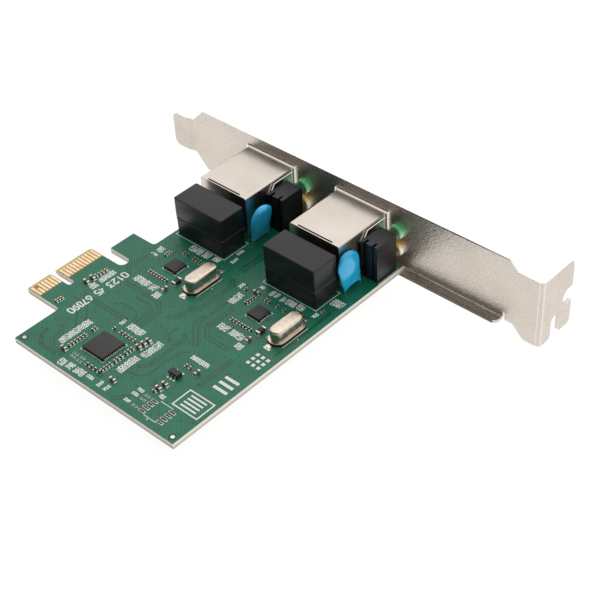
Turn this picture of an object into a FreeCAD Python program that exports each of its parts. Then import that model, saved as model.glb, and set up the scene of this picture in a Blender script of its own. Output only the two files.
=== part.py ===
import FreeCAD, Part
import math
import os

# Network interface card with two network ports, sizes in millimetres.
# X runs along the bracket from the slot tongue to the fixing tab.
# Y runs from the board towards the outside of the bracket.
# Z runs up from the component side of the board.
# The origin is on the edge connector: tip edge, middle of the key notch, component surface.

# circuit board
board_thickness = 1.6
board_low_x = 12.4
board_side_gap = 0.645
board_far_y = -21.7
board_bracket_y = 56.4
inner_edge_x = 12.1
hook_tip_x = 4.4
hook_start_y = 15.4
hook_end_y = 23.2
hook_slot_end_x = 12.2
board_ear_x = 4.4
board_ear_y = 47.5
corner_fillet = 1.0

# edge connector tongue
tongue_low_y = -8.15
tongue_high_y = 12.15
tongue_corner = 0.5
key_width = 1.9
key_depth = 7.65
bevel_length = 1.2
bevel_drop = 0.42
contact_pitch = 1.0
contact_width = 0.7
contact_end_x = 5.0
contact_plating = 0.05
contact_first_y = 1.5
contacts_long_side = 11
contacts_short_side = 7
presence_setback = 1.3

# slot bracket
sheet = 0.86
bracket_inner_y = 57.7
bracket_top_z = 15.96
bracket_width = 18.42
bracket_left_x = -3.45
slot_tongue_tip_x = -15.0
slot_tongue_width = 10.19
slot_tongue_corner_r = 2.0
slot_tongue_step = 0.5
slot_tongue_step_x = -8.6
slot_tongue_step_run = 1.3
slot_tongue_step_r = 1.0
tab_face_x = 105.02
tab_width = 19.05
tab_out_y = 69.99
tab_shoulder = 2.54
tab_shoulder_start = 9.52
tab_corner_r = 1.8
tab_low_corner_r = 1.2
tab_bend_inner_r = 0.45
low_shoulder_run = 6.0
low_shoulder_r = 1.5
screw_notch_width = 4.42
screw_notch_z = 3.35
screw_notch_bottom_y = 66.3
guide_slot_y = 63.6
guide_slot_width = 3.2
guide_slot_top_z = 0.6
lip_start_x = 2.4
lip_end_x = 94.4
lip_free_y = 55.0
lip_corner_r = 1.5
lip_bend_inner_r = 0.5
relief_width = 0.6
relief_top_z = -0.1

# screws that hold the board on the bracket
screw_y = 51.6
screw_1_x = 8.2
screw_r = 1.5
screw_hole_r = 1.65
screw_head_r = 2.8
screw_head_height = 2.0
screw_head_round = 1.2
screw_length = 3.3
recess_width = 0.75
recess_length = 3.0
recess_depth = 1.2
bracket_ear_r = 4.0
collar_r = 2.3
collar_height = 0.6

# network ports
port_pitch = 30.48
port_1_x = 21.2
shield_width = 15.75
shield_height = 12.4
shield_rear_y = 40.0
shield_sheet = 0.25
shield_bend_r = 0.5
shield_proud = 0.4
rim_width = 0.35
rim_sheet = 0.3
window_gap = 0.2
window_corner_r = 0.4
rear_slit_width = 0.5
rear_slit_length = 11.0
side_slit_height = 0.2
side_slit_length = 6.7
side_seam_width = 0.2
side_seam_height = 3.0
side_seam_lean = 1.9
latch_window_y = 49.0
latch_window_width = 2.4
latch_window_z = 2.2
latch_window_height = 1.6
shield_leg_y = 45.6
shield_leg_width = 1.2
pin_below_board = 1.0
body_recess = 0.2
peg_r = 1.6
peg_gap = 0.05
peg_spacing = 11.43
peg_y = 49.5
cavity_width = 11.9
cavity_height = 6.8
cavity_roof_cover = 1.7
cavity_rear_wall = 5.9
latch_step_width = 6.3
latch_step_depth = 1.5
latch_groove_width = 3.4
latch_groove_depth = 0.9
mouth_flare = 0.35
mouth_flare_depth = 0.6
wire_thickness = 0.3
wire_width = 0.4
wire_pitch = 1.02
wire_count = 8
wire_slot_gap = 0.06
wire_roof_gap = 0.15
wire_row_setback = 1.3
wire_row_spacing = 2.54
wire_fold_setback = 1.46
wire_fold_out = 0.6
wire_end_gap = 1.7
wire_end_drop = 2.4

# line transformers
transformer_shift = 0.45
transformer_gap = 1.7
transformer_length = 16.5
transformer_depth = 8.0
transformer_height = 11.4
transformer_split_z = 5.7
transformer_base_inset = 0.1
transformer_corner_r = 0.4
transformer_foot = 0.4
transformer_foot_size = 0.7
transformer_pin = 0.5
transformer_pin_pitch = 1.27
transformer_pins_per_row = 12
transformer_row_spacing = 5.08
dot_r = 0.45
dot_depth = 0.1
dot_inset = 1.3

# lamps and their holders
lamp_high_z = 8.1
lamp_low_z = 3.0
lamp_hole_r = 1.95
lamp_r = 1.5
lamp_flange_r = 1.9
lamp_flange = 1.0
lamp_length = 5.3
lamp_reach = 0.7
lamp_bore_gap = 0.05
holder_gap = 0.7
holder_bracket_gap = 3.5
holder_width = 5.1
holder_height = 10.5
holder_length = 7.2
holder_groove_depth = 1.5
holder_groove_width = 0.66
lamp_lead = 0.5
lamp_lead_spacing = 2.54

# disc capacitors
disc_r = 3.75
disc_thickness = 2.0
disc_edge_r = 0.95
disc_1_centre_z = 7.6
disc_2_centre_z = 6.9
disc_lead_r = 0.3
disc_lead_spacing = 5.5
disc_foot_z = 0.6
disc_foot_width = 0.6
disc_web_thickness = 1.3
disc_web_inset = 0.15
disc_web_edge_r = 0.25
disc_arch_height = 0.75
disc_gap = 1.03
disc_holder_gap = 1.7
disc_lead_setback = 4.85
disc_1_lean = 12.0
disc_2_lean = -4.0

# crystals
crystal_1_x = 32.3
crystal_1_y = 20.25
crystal_2_x = 60.7
crystal_2_y = 19.9
crystal_base_margin = 0.12
crystal_base_height = 0.4
crystal_flange_length = 10.8
crystal_flange_width = 4.7
crystal_flange_height = 0.35
crystal_flange_edge_r = 0.12
crystal_can_length = 9.6
crystal_can_width = 3.7
crystal_can_edge_r = 0.5
crystal_top_z = 3.6
crystal_terminal_width = 1.0
crystal_terminal_thickness = 0.2
crystal_terminal_inner = 4.3
crystal_terminal_outer = 6.6

# leadless chips: size, contacts per side
bridge_x = 31.15
bridge_y = -10.45
bridge_size = 7.0
bridge_contacts_per_side = 12
controller_1_x = 22.85
controller_1_y = 20.35
controller_2_x = 51.1
controller_2_y = 20.6
controller_size = 4.0
controller_contacts_per_side = 6
chip_height = 0.85
chip_contact_pitch = 0.5
chip_contact_width = 0.25
chip_contact_length = 0.4
chip_contact_height = 0.2

# voltage regulator
regulator_x = 50.9
regulator_y = -6.45
regulator_length = 2.9
regulator_width = 1.6
regulator_base_z = 0.1
regulator_top_z = 1.2
regulator_lead_pitch = 0.95
regulator_lead_width = 0.4
regulator_lead_sheet = 0.15
regulator_lead_exit_z = 0.6
regulator_lead_reach = 1.4

# chip capacitors, resistors and chokes
small_chip_length = 1.0
small_chip_width = 0.5
small_chip_end = 0.25
large_chip_length = 1.6
large_chip_width = 0.8
large_chip_end = 0.35
choke_length = 2.5
choke_width = 1.25
choke_height = 0.95
choke_end = 0.45

# sizes that follow from the ones above
bridge_place = (bridge_x, bridge_y)
controller_places = [(controller_1_x, controller_1_y), (controller_2_x, controller_2_y)]
regulator_place = (regulator_x, regulator_y)
edge_place = (inner_edge_x, 0.0)
small_chip = (small_chip_length, small_chip_width, small_chip_width, small_chip_end)
large_chip = (large_chip_length, large_chip_width, large_chip_width, large_chip_end)
choke_chip = (choke_length, choke_width, choke_height, choke_end)
port_x = [port_1_x, port_1_x + port_pitch]
shield_side = shield_width / 2
lamp_x = [x + shield_side + holder_gap + holder_width / 2 for x in port_x]
screw_2_x = (lamp_x[0] + holder_width / 2 + port_x[1] - shield_side) / 2
board_high_x = lamp_x[1] + holder_width / 2 + board_side_gap
disc_x = [x + shield_side + disc_gap + disc_thickness / 2 for x in port_x]
transformer_starts = [x + transformer_shift - transformer_length / 2 for x in port_x]
transformer_rear_y = shield_rear_y - transformer_gap - transformer_depth
lamp_tip_y = bracket_inner_y + lamp_reach
lamp_base_y = lamp_tip_y - lamp_length
lamp_bore_r = lamp_flange_r + lamp_bore_gap
holder_front_y = bracket_inner_y - holder_bracket_gap
holder_rear_y = holder_front_y - holder_length
disc_y = holder_rear_y - disc_holder_gap - disc_r
disc_lead_y = holder_rear_y - disc_lead_setback
disc_foot_reach = disc_lead_spacing / 2 + disc_foot_width / 2
disc_arch_half = disc_lead_spacing / 2 - disc_foot_width / 2
disc_arch_r = (disc_arch_half ** 2 + disc_arch_height ** 2) / (2 * disc_arch_height)
cavity_roof_z = shield_height - cavity_roof_cover
cavity_floor_z = cavity_roof_z - cavity_height
cavity_rear_y = shield_rear_y + cavity_rear_wall
latch_step_floor_z = cavity_floor_z - latch_step_depth
latch_groove_floor_z = latch_step_floor_z - latch_groove_depth
wire_row_front_y = cavity_rear_y - wire_row_setback
wire_end_y = cavity_rear_y + wire_end_gap
wire_end_z = cavity_roof_z - wire_end_drop
bracket_outer_y = bracket_inner_y + sheet
bracket_low_z = bracket_top_z - bracket_width
tab_top_z = bracket_top_z - tab_shoulder
tab_low_z = tab_top_z - tab_width
slot_tongue_low_z = bracket_low_z + (bracket_width - slot_tongue_width) / 2
slot_tongue_high_z = slot_tongue_low_z + slot_tongue_width
slot_tongue_shoulder = (bracket_width - slot_tongue_width) / 2
board_low_z = -board_thickness
lip_low_z = board_low_z - sheet
pin_low_z = board_low_z - pin_below_board
shield_front_y = bracket_outer_y + shield_proud
body_front_y = shield_front_y - body_recess
wire_fold_y = body_front_y - wire_fold_setback
body_half = shield_width / 2 - shield_sheet


def place(plane, level, first, second):
    if plane == "xy":
        return FreeCAD.Vector(first, second, level)
    if plane == "xz":
        return FreeCAD.Vector(first, level, second)
    return FreeCAD.Vector(level, first, second)


def flat_face(points, plane, level):
    # a point is (first, second) or (first, second, corner radius)
    spots = [place(plane, level, p[0], p[1]) for p in points]
    radii = [p[2] if len(p) > 2 else 0.0 for p in points]
    starts = []
    middles = []
    ends = []
    count = len(spots)
    for i in range(count):
        corner = spots[i]
        if radii[i] == 0.0:
            starts.append(corner)
            middles.append(None)
            ends.append(corner)
            continue
        back = (spots[i - 1] - corner).normalize()
        ahead = (spots[(i + 1) % count] - corner).normalize()
        half = back.getAngle(ahead) / 2
        bisector = (back + ahead).normalize()
        reach = radii[i] / math.tan(half)
        centre = corner + bisector * (radii[i] / math.sin(half))
        starts.append(corner + back * reach)
        middles.append(centre - bisector * radii[i])
        ends.append(corner + ahead * reach)
    edges = []
    for i in range(count):
        if middles[i] is not None:
            edges.append(Part.Arc(starts[i], middles[i], ends[i]).toShape())
        following = starts[(i + 1) % count]
        if (following - ends[i]).Length > 0.0001:
            edges.append(Part.makeLine(ends[i], following))
    return Part.Face(Part.Wire(edges))


def slab(points, plane, low, high):
    return flat_face(points, plane, low).extrude(place(plane, high - low, 0.0, 0.0))


def box(x0, x1, y0, y1, z0, z1):
    return Part.makeBox(x1 - x0, y1 - y0, z1 - z0, FreeCAD.Vector(x0, y0, z0))


def centred_box(centre_x, centre_y, size_x, size_y, z0, z1):
    half_x = size_x / 2
    half_y = size_y / 2
    return box(centre_x - half_x, centre_x + half_x, centre_y - half_y, centre_y + half_y, z0, z1)


def rod(x, y, z0, z1, radius):
    return Part.makeCylinder(radius, z1 - z0, FreeCAD.Vector(x, y, z0))


def rod_along_y(x, z, y0, y1, radius):
    return Part.makeCylinder(radius, y1 - y0, FreeCAD.Vector(x, y0, z), FreeCAD.Vector(0, 1, 0))


def rounded_rectangle(x0, x1, y0, y1, radius):
    return [(x0, y0, radius), (x1, y0, radius), (x1, y1, radius), (x0, y1, radius)]


def strip_outline(path, thickness):
    # both sides of a bent strip whose middle line is the path, mitred at the bends
    half = thickness / 2
    left = []
    right = []
    for i in range(len(path)):
        here = FreeCAD.Vector(path[i][0], path[i][1], 0)
        directions = []
        if i > 0:
            before = FreeCAD.Vector(path[i - 1][0], path[i - 1][1], 0)
            directions.append((here - before).normalize())
        if i < len(path) - 1:
            after = FreeCAD.Vector(path[i + 1][0], path[i + 1][1], 0)
            directions.append((after - here).normalize())
        sides = [FreeCAD.Vector(-d.y, d.x, 0) for d in directions]
        if len(sides) == 1:
            offset = sides[0] * half
        else:
            mitre = (sides[0] + sides[1]).normalize()
            offset = mitre * (half / mitre.dot(sides[0]))
        left.append((here.x + offset.x, here.y + offset.y))
        right.append((here.x - offset.x, here.y - offset.y))
    return left + right[::-1]


def solids_of(shapes):
    found = []
    for shape in shapes:
        found.extend(shape.Solids)
    return found


def save(name, shapes):
    pieces = solids_of(shapes)
    if len(pieces) == 1:
        pieces[0].exportStep("parts/" + name + ".step")
    else:
        Part.makeCompound(pieces).exportStep("parts/" + name + ".step")


os.makedirs("parts", exist_ok=True)

# pins and leads that pass through the board, the solder fills each hole to the pin
board_cuts = []


def transformer_pins(start_x):
    pins = []
    centre_x = start_x + transformer_length / 2
    centre_y = transformer_rear_y + transformer_depth / 2
    first_x = centre_x - (transformer_pins_per_row - 1) * transformer_pin_pitch / 2
    for side in (-1, 1):
        row_y = centre_y + side * transformer_row_spacing / 2
        for i in range(transformer_pins_per_row):
            pin_x = first_x + i * transformer_pin_pitch
            pins.append(centred_box(pin_x, row_y, transformer_pin, transformer_pin,
                                    pin_low_z, transformer_foot))
    return pins


def wire_positions(centre_x):
    first_x = centre_x - (wire_count - 1) * wire_pitch / 2
    spots = []
    for i in range(wire_count):
        row_y = wire_row_front_y - (i % 2) * wire_row_spacing
        spots.append((first_x + i * wire_pitch, row_y))
    return spots


def port_wire(x, row_y):
    # up from the board, forward under the roof, folded back down into the plug opening
    roof_run_z = cavity_roof_z + wire_thickness / 2 + wire_roof_gap
    path = [
        (row_y, pin_low_z),
        (row_y, roof_run_z),
        (wire_fold_y, roof_run_z),
        (wire_fold_y + wire_fold_out, roof_run_z - wire_fold_out),
        (wire_fold_y, roof_run_z - 2 * wire_fold_out),
        (wire_end_y, wire_end_z),
    ]
    outline = strip_outline(path, wire_thickness)
    return slab(outline, "yz", x - wire_width / 2, x + wire_width / 2)


def lamp_leads(centre_x):
    leads = []
    high_path = [
        (lamp_base_y, lamp_high_z),
        (holder_rear_y + holder_groove_depth - lamp_lead / 2, lamp_high_z),
        (holder_rear_y + holder_groove_depth - lamp_lead / 2, pin_low_z),
    ]
    low_path = [
        (lamp_base_y, lamp_low_z),
        (holder_rear_y + holder_groove_depth - lamp_lead / 2 + lamp_lead_spacing, lamp_low_z),
        (holder_rear_y + holder_groove_depth - lamp_lead / 2 + lamp_lead_spacing, pin_low_z),
    ]
    for side in (-1, 1):
        lead_x = centre_x + side * lamp_lead_spacing / 2
        for path in (high_path, low_path):
            outline = strip_outline(path, lamp_lead)
            leads.append(slab(outline, "yz", lead_x - lamp_lead / 2, lead_x + lamp_lead / 2))
    return leads


def disc_leads(foot_x, lead_y):
    leads = []
    for side in (-1, 1):
        leads.append(rod(foot_x, lead_y + side * disc_lead_spacing / 2, pin_low_z, disc_foot_z, disc_lead_r))
    return leads


def shield_legs(centre_x):
    legs = []
    for side in (-1, 1):
        outer = centre_x + side * shield_width / 2
        inner = outer - side * shield_sheet
        low_y = shield_leg_y - shield_leg_width / 2
        legs.append(box(min(outer, inner), max(outer, inner), low_y, low_y + shield_leg_width, pin_low_z, 0.5))
    return legs


all_transformer_pins = [transformer_pins(start) for start in transformer_starts]
all_wires = [[port_wire(x, y) for x, y in wire_positions(centre)] for centre in port_x]
all_lamp_leads = [lamp_leads(centre) for centre in lamp_x]
all_disc_leads = [disc_leads(x, disc_lead_y) for x in disc_x]
for group in all_transformer_pins + all_lamp_leads + all_disc_leads + all_wires:
    board_cuts.extend(group)
for centre in port_x:
    board_cuts.extend(shield_legs(centre))
    for side in (-1, 1):
        board_cuts.append(rod(centre + side * peg_spacing / 2, peg_y, -3.0, 1.0, peg_r + peg_gap))
for x in (screw_1_x, screw_2_x):
    board_cuts.append(rod(x, screw_y, -3.0, 1.0, screw_hole_r))

# circuit board with edge tongue, key notch and hook
hook_slot_r = (hook_start_y - tongue_high_y) / 2
board_outline = [
    (board_low_x, board_far_y),
    (board_high_x, board_far_y),
    (board_high_x, board_bracket_y),
    (board_ear_x, board_bracket_y),
    (board_ear_x, board_ear_y),
    (inner_edge_x, board_ear_y, corner_fillet),
    (inner_edge_x, hook_end_y, corner_fillet),
    (hook_tip_x, hook_end_y),
    (hook_tip_x, hook_start_y),
    (hook_slot_end_x, hook_start_y, hook_slot_r),
    (hook_slot_end_x, tongue_high_y, hook_slot_r),
    (tongue_corner, tongue_high_y),
    (0.0, tongue_high_y - tongue_corner),
    (0.0, key_width / 2),
    (key_depth, key_width / 2, key_width / 2),
    (key_depth, -key_width / 2, key_width / 2),
    (0.0, -key_width / 2),
    (0.0, tongue_low_y + tongue_corner),
    (tongue_corner, tongue_low_y),
    (board_low_x, tongue_low_y, corner_fillet),
]
board = slab(board_outline, "xy", board_low_z, 0.0)
upper_bevel = slab([(0.0, 0.0), (bevel_length, 0.0), (0.0, -bevel_drop)], "xz", tongue_low_y, tongue_high_y)
lower_bevel = slab(
    [(0.0, board_low_z), (bevel_length, board_low_z), (0.0, board_low_z + bevel_drop)],
    "xz", tongue_low_y, tongue_high_y)
board = board.cut(Part.makeCompound([upper_bevel, lower_bevel]))
board = board.cut(Part.makeCompound(board_cuts))
save("circuit_board", [board])

# plated edge contacts, one short contact on each side tells the slot that a card is present
contact_rows = [contact_first_y + i * contact_pitch for i in range(contacts_long_side)]
contact_rows += [-contact_first_y - i * contact_pitch for i in range(contacts_short_side)]
upper_short_y = -contact_first_y - (contacts_short_side - 2) * contact_pitch
lower_short_y = contact_first_y + (contacts_long_side - 1) * contact_pitch
upper_contacts = []
lower_contacts = []
for y in contact_rows:
    upper_start = bevel_length + (presence_setback if y == upper_short_y else 0.0)
    lower_start = bevel_length + (presence_setback if y == lower_short_y else 0.0)
    low_y = y - contact_width / 2
    high_y = y + contact_width / 2
    upper_contacts.append(box(upper_start, contact_end_x, low_y, high_y, 0.0, contact_plating))
    lower_contacts.append(box(lower_start, contact_end_x, low_y, high_y,
                              board_low_z - contact_plating, board_low_z))
save("edge_contacts_component_side", upper_contacts)
save("edge_contacts_solder_side", lower_contacts)

# slot bracket: stepped tongue, plate and tab are one sheet bent in plan
tab_inner_x = tab_face_x - sheet
step_low_y = bracket_inner_y - slot_tongue_step
step_end_x = slot_tongue_step_x - slot_tongue_step_run
step_shift = sheet * slot_tongue_step / slot_tongue_step_run / 2
sheet_plan = [
    (slot_tongue_tip_x, step_low_y),
    (step_end_x, step_low_y, slot_tongue_step_r),
    (slot_tongue_step_x, bracket_inner_y, slot_tongue_step_r),
    (tab_face_x, bracket_inner_y, tab_bend_inner_r + sheet),
    (tab_face_x, tab_out_y),
    (tab_inner_x, tab_out_y),
    (tab_inner_x, bracket_outer_y, tab_bend_inner_r),
    (slot_tongue_step_x - step_shift, bracket_outer_y, slot_tongue_step_r),
    (step_end_x - step_shift, bracket_outer_y - slot_tongue_step, slot_tongue_step_r),
    (slot_tongue_tip_x, bracket_outer_y - slot_tongue_step),
]
bent_sheet = slab(sheet_plan, "xy", tab_low_z - 1.0, bracket_top_z + 1.0)
lip_bend_z = board_low_z + lip_bend_inner_r
plate_outline = [
    (bracket_left_x, bracket_top_z),
    (tab_face_x - tab_shoulder_start, bracket_top_z),
    (tab_face_x - tab_shoulder_start + tab_shoulder, tab_top_z),
    (tab_face_x + 1.0, tab_top_z),
    (tab_face_x + 1.0, tab_low_z),
    (lip_end_x + low_shoulder_run, tab_low_z, low_shoulder_r),
    (lip_end_x + low_shoulder_run - (bracket_low_z - tab_low_z), bracket_low_z),
    (lip_end_x + relief_width, bracket_low_z),
    (lip_end_x + relief_width, relief_top_z),
    (lip_end_x, relief_top_z),
    (lip_end_x, lip_bend_z),
    (lip_start_x, lip_bend_z),
    (lip_start_x, relief_top_z),
    (lip_start_x - relief_width, relief_top_z),
    (lip_start_x - relief_width, bracket_low_z),
    (bracket_left_x, bracket_low_z),
    (bracket_left_x - slot_tongue_shoulder, slot_tongue_low_z),
    (slot_tongue_tip_x, slot_tongue_low_z, slot_tongue_corner_r),
    (slot_tongue_tip_x, slot_tongue_high_z, slot_tongue_corner_r),
    (bracket_left_x - slot_tongue_shoulder, slot_tongue_high_z),
]
plate_mask = slab(plate_outline, "xz", bracket_inner_y - 1.5, bracket_outer_y + 1.0)
notch_half = screw_notch_width / 2
guide_half = guide_slot_width / 2
tab_outline = [
    (bracket_outer_y + 0.5, tab_low_z),
    (guide_slot_y - guide_half, tab_low_z, tab_low_corner_r),
    (guide_slot_y - guide_half, guide_slot_top_z, guide_half),
    (guide_slot_y + guide_half, guide_slot_top_z, guide_half),
    (guide_slot_y + guide_half, tab_low_z, tab_low_corner_r),
    (tab_out_y, tab_low_z, tab_low_corner_r),
    (tab_out_y, screw_notch_z - notch_half),
    (screw_notch_bottom_y, screw_notch_z - notch_half, notch_half),
    (screw_notch_bottom_y, screw_notch_z + notch_half, notch_half),
    (tab_out_y, screw_notch_z + notch_half),
    (tab_out_y, tab_top_z, tab_corner_r),
    (bracket_outer_y + 0.5, tab_top_z),
]
tab_mask = slab(tab_outline, "yz", tab_inner_x - 1.0, tab_face_x + 1.0)
bracket = bent_sheet.common(plate_mask.fuse(tab_mask))

# folded lip under the board with the two screw ears
bend_start_y = bracket_inner_y - lip_bend_inner_r
bend_section = [
    (bracket_outer_y, lip_bend_z),
    (bracket_outer_y, lip_low_z, lip_bend_inner_r + sheet),
    (bend_start_y, lip_low_z),
    (bend_start_y, board_low_z),
    (bracket_inner_y, board_low_z, lip_bend_inner_r),
    (bracket_inner_y, lip_bend_z),
]
bend = slab(bend_section, "yz", lip_start_x, lip_end_x)
lip_outline = [
    (lip_start_x, bend_start_y),
    (lip_start_x, lip_free_y, lip_corner_r),
    (lip_end_x, lip_free_y, lip_corner_r),
    (lip_end_x, bend_start_y),
]
lip = slab(lip_outline, "xy", lip_low_z, board_low_z)
bracket = bracket.fuse(bend).fuse(lip)
for x in (screw_1_x, screw_2_x):
    ear_outline = [
        (x - bracket_ear_r, lip_free_y + lip_corner_r),
        (x - bracket_ear_r, screw_y - bracket_ear_r, bracket_ear_r),
        (x + bracket_ear_r, screw_y - bracket_ear_r, bracket_ear_r),
        (x + bracket_ear_r, lip_free_y + lip_corner_r),
    ]
    bracket = bracket.fuse(slab(ear_outline, "xy", lip_low_z, board_low_z))
    bracket = bracket.fuse(rod(x, screw_y, lip_low_z - collar_height, lip_low_z, collar_r))
bracket_cuts = [rod(x, screw_y, -9.0, 1.0, screw_r) for x in (screw_1_x, screw_2_x)]
for centre in port_x:
    window_half = shield_width / 2 + window_gap
    window = [
        (centre - window_half, -window_gap, window_corner_r),
        (centre + window_half, -window_gap, window_corner_r),
        (centre + window_half, shield_height + window_gap, window_corner_r),
        (centre - window_half, shield_height + window_gap, window_corner_r),
    ]
    bracket_cuts.append(slab(window, "xz", bracket_inner_y - 1.0, bracket_outer_y + 1.0))
for centre in lamp_x:
    for z in (lamp_high_z, lamp_low_z):
        bracket_cuts.append(rod_along_y(centre, z, bracket_inner_y - 1.0, bracket_outer_y + 1.0, lamp_hole_r))
bracket = bracket.cut(Part.makeCompound(bracket_cuts)).removeSplitter()
save("slot_bracket", [bracket])

# pan-head screws with a cross recess
screws = []
for x in (screw_1_x, screw_2_x):
    head = rod(x, screw_y, 0.0, screw_head_height, screw_head_r)
    rim_edges = [edge for edge in head.Edges if edge.BoundBox.ZMin > screw_head_height - 0.001]
    head = head.makeFillet(screw_head_round, rim_edges)
    shank = rod(x, screw_y, -screw_length, 0.0, screw_r)
    recess_low = screw_head_height - recess_depth
    recess_a = centred_box(x, screw_y, recess_length, recess_width, recess_low, screw_head_height + 1.0)
    recess_b = centred_box(x, screw_y, recess_width, recess_length, recess_low, screw_head_height + 1.0)
    screws.append(head.fuse(shank).cut(recess_a.fuse(recess_b)).removeSplitter())
save("bracket_screws", screws)

# sheet-metal shields of the two network ports
for number, centre in enumerate(port_x):
    label = str(number + 1)
    half = shield_width / 2
    inner_half = half - shield_sheet
    inner_top = shield_height - shield_sheet
    section = [
        (centre - half, 0.0),
        (centre - half, shield_height, shield_bend_r),
        (centre + half, shield_height, shield_bend_r),
        (centre + half, 0.0),
        (centre + inner_half, 0.0),
        (centre + inner_half, inner_top, shield_bend_r - shield_sheet),
        (centre - inner_half, inner_top, shield_bend_r - shield_sheet),
        (centre - inner_half, 0.0),
    ]
    shield = slab(section, "xz", shield_rear_y, shield_front_y)
    rear_section = [
        (centre - inner_half, 0.0),
        (centre - inner_half, inner_top, shield_bend_r - shield_sheet),
        (centre + inner_half, inner_top, shield_bend_r - shield_sheet),
        (centre + inner_half, 0.0),
    ]
    rear_wall = slab(rear_section, "xz", shield_rear_y, shield_rear_y + shield_sheet)
    rim_outer = box(centre - half - rim_width, centre + half + rim_width,
                    bracket_inner_y - rim_sheet, bracket_inner_y, 0.0, shield_height + rim_width)
    rim_inner = box(centre - half, centre + half,
                    bracket_inner_y - 1.0, bracket_inner_y + 1.0, -1.0, shield_height - shield_bend_r)
    rim_inner = rim_inner.fuse(slab(section[:4], "xz", bracket_inner_y - 1.0, bracket_inner_y + 1.0))
    rim = rim_outer.cut(rim_inner)
    shield = shield.fuse(rear_wall).fuse(rim)
    for leg in shield_legs(centre):
        shield = shield.fuse(leg)
    slit_half = rear_slit_length / 2
    slit_y = shield_rear_y + shield_sheet
    cuts = [box(centre - slit_half, centre + slit_half, slit_y, slit_y + rear_slit_width,
                inner_top, shield_height + 1.0)]
    slit_top = shield_height - shield_bend_r
    for side in (-1, 1):
        wall_low = min(centre + side * half, centre + side * inner_half)
        wall_high = max(centre + side * half, centre + side * inner_half)
        slit_front = bracket_inner_y - 1.0
        seam_y = slit_front - side_slit_length
        cuts.append(box(wall_low, wall_high, seam_y, slit_front, slit_top - side_slit_height, slit_top))
        seam_low_z = slit_top - side_seam_height
        seam_outline = [
            (seam_y, slit_top),
            (seam_y + side_seam_width, slit_top),
            (seam_y + side_seam_width - side_seam_lean, seam_low_z),
            (seam_y - side_seam_lean, seam_low_z),
        ]
        cuts.append(slab(seam_outline, "yz", wall_low, wall_high))
        cuts.append(box(wall_low, wall_high, latch_window_y - latch_window_width / 2,
                        latch_window_y + latch_window_width / 2,
                        latch_window_z, latch_window_z + latch_window_height))
    shield = shield.cut(Part.makeCompound(cuts)).removeSplitter()
    save("port_shield_" + label, [shield])

    # moulded body with the plug opening, latch steps, wire grooves, nubs and pegs
    body_section = [
        (centre - body_half, 0.0),
        (centre - body_half, inner_top, shield_bend_r),
        (centre + body_half, inner_top, shield_bend_r),
        (centre + body_half, 0.0),
    ]
    body = slab(body_section, "xz", shield_rear_y + shield_sheet, body_front_y)
    for side in (-1, 1):
        face = centre + side * body_half
        nub_low = min(face, face + side * shield_sheet)
        nub_high = max(face, face + side * shield_sheet)
        body = body.fuse(box(nub_low, nub_high, latch_window_y - latch_window_width / 2,
                             latch_window_y + latch_window_width / 2,
                             latch_window_z, latch_window_z + latch_window_height))
        body = body.fuse(rod(centre + side * peg_spacing / 2, peg_y, pin_low_z, 0.0, peg_r))
    opening = box(centre - cavity_width / 2, centre + cavity_width / 2, cavity_rear_y, body_front_y + 1.0,
                  cavity_floor_z, cavity_roof_z)
    opening = opening.fuse(box(centre - latch_step_width / 2, centre + latch_step_width / 2,
                               cavity_rear_y, body_front_y + 1.0, latch_step_floor_z, cavity_floor_z))
    opening = opening.fuse(box(centre - latch_groove_width / 2, centre + latch_groove_width / 2,
                               cavity_rear_y, body_front_y + 1.0, latch_groove_floor_z, latch_step_floor_z))
    flare_section = [
        (centre - cavity_width / 2, body_front_y - mouth_flare_depth),
        (centre - cavity_width / 2 - mouth_flare, body_front_y),
        (centre + cavity_width / 2 + mouth_flare, body_front_y),
        (centre + cavity_width / 2, body_front_y - mouth_flare_depth),
    ]
    flare = slab(flare_section, "xy", cavity_floor_z, cavity_roof_z)
    body = body.cut(opening.fuse(flare))
    slot_top = cavity_roof_z + wire_thickness + wire_roof_gap
    slot_half = wire_width / 2 + wire_slot_gap
    comb = [box(x - slot_half, x + slot_half, cavity_rear_y, wire_fold_y + 2 * wire_fold_out,
                cavity_roof_z - 1.0, slot_top) for x, y in wire_positions(centre)]
    body = body.cut(Part.makeCompound(comb))
    body = body.cut(Part.makeCompound(all_wires[number]))
    save("port_body_" + label, [body])
    save("port_contacts_" + label, all_wires[number])

# line transformers
for number, start in enumerate(transformer_starts):
    label = str(number + 1)
    end = start + transformer_length
    front_y = transformer_rear_y + transformer_depth
    cover_plan = rounded_rectangle(start, end, transformer_rear_y, front_y, transformer_corner_r)
    cover = slab(cover_plan, "xy", transformer_split_z, transformer_height)
    dot = rod(start + dot_inset, transformer_rear_y + dot_inset, transformer_height - dot_depth,
              transformer_height + 1.0, dot_r)
    save("transformer_cover_" + label, [cover.cut(dot)])
    inset = transformer_base_inset
    base_plan = rounded_rectangle(start + inset, end - inset, transformer_rear_y + inset, front_y - inset,
                                  transformer_corner_r)
    base = slab(base_plan, "xy", transformer_foot, transformer_split_z)
    foot_half = transformer_foot_size / 2 + 2 * inset
    for foot_x in (start + foot_half, end - foot_half):
        for foot_y in (transformer_rear_y + foot_half, front_y - foot_half):
            base = base.fuse(centred_box(foot_x, foot_y, transformer_foot_size, transformer_foot_size,
                                         0.0, transformer_foot + 0.2))
    save("transformer_base_" + label, [base.removeSplitter()])
    save("transformer_pins_" + label, all_transformer_pins[number])

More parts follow.
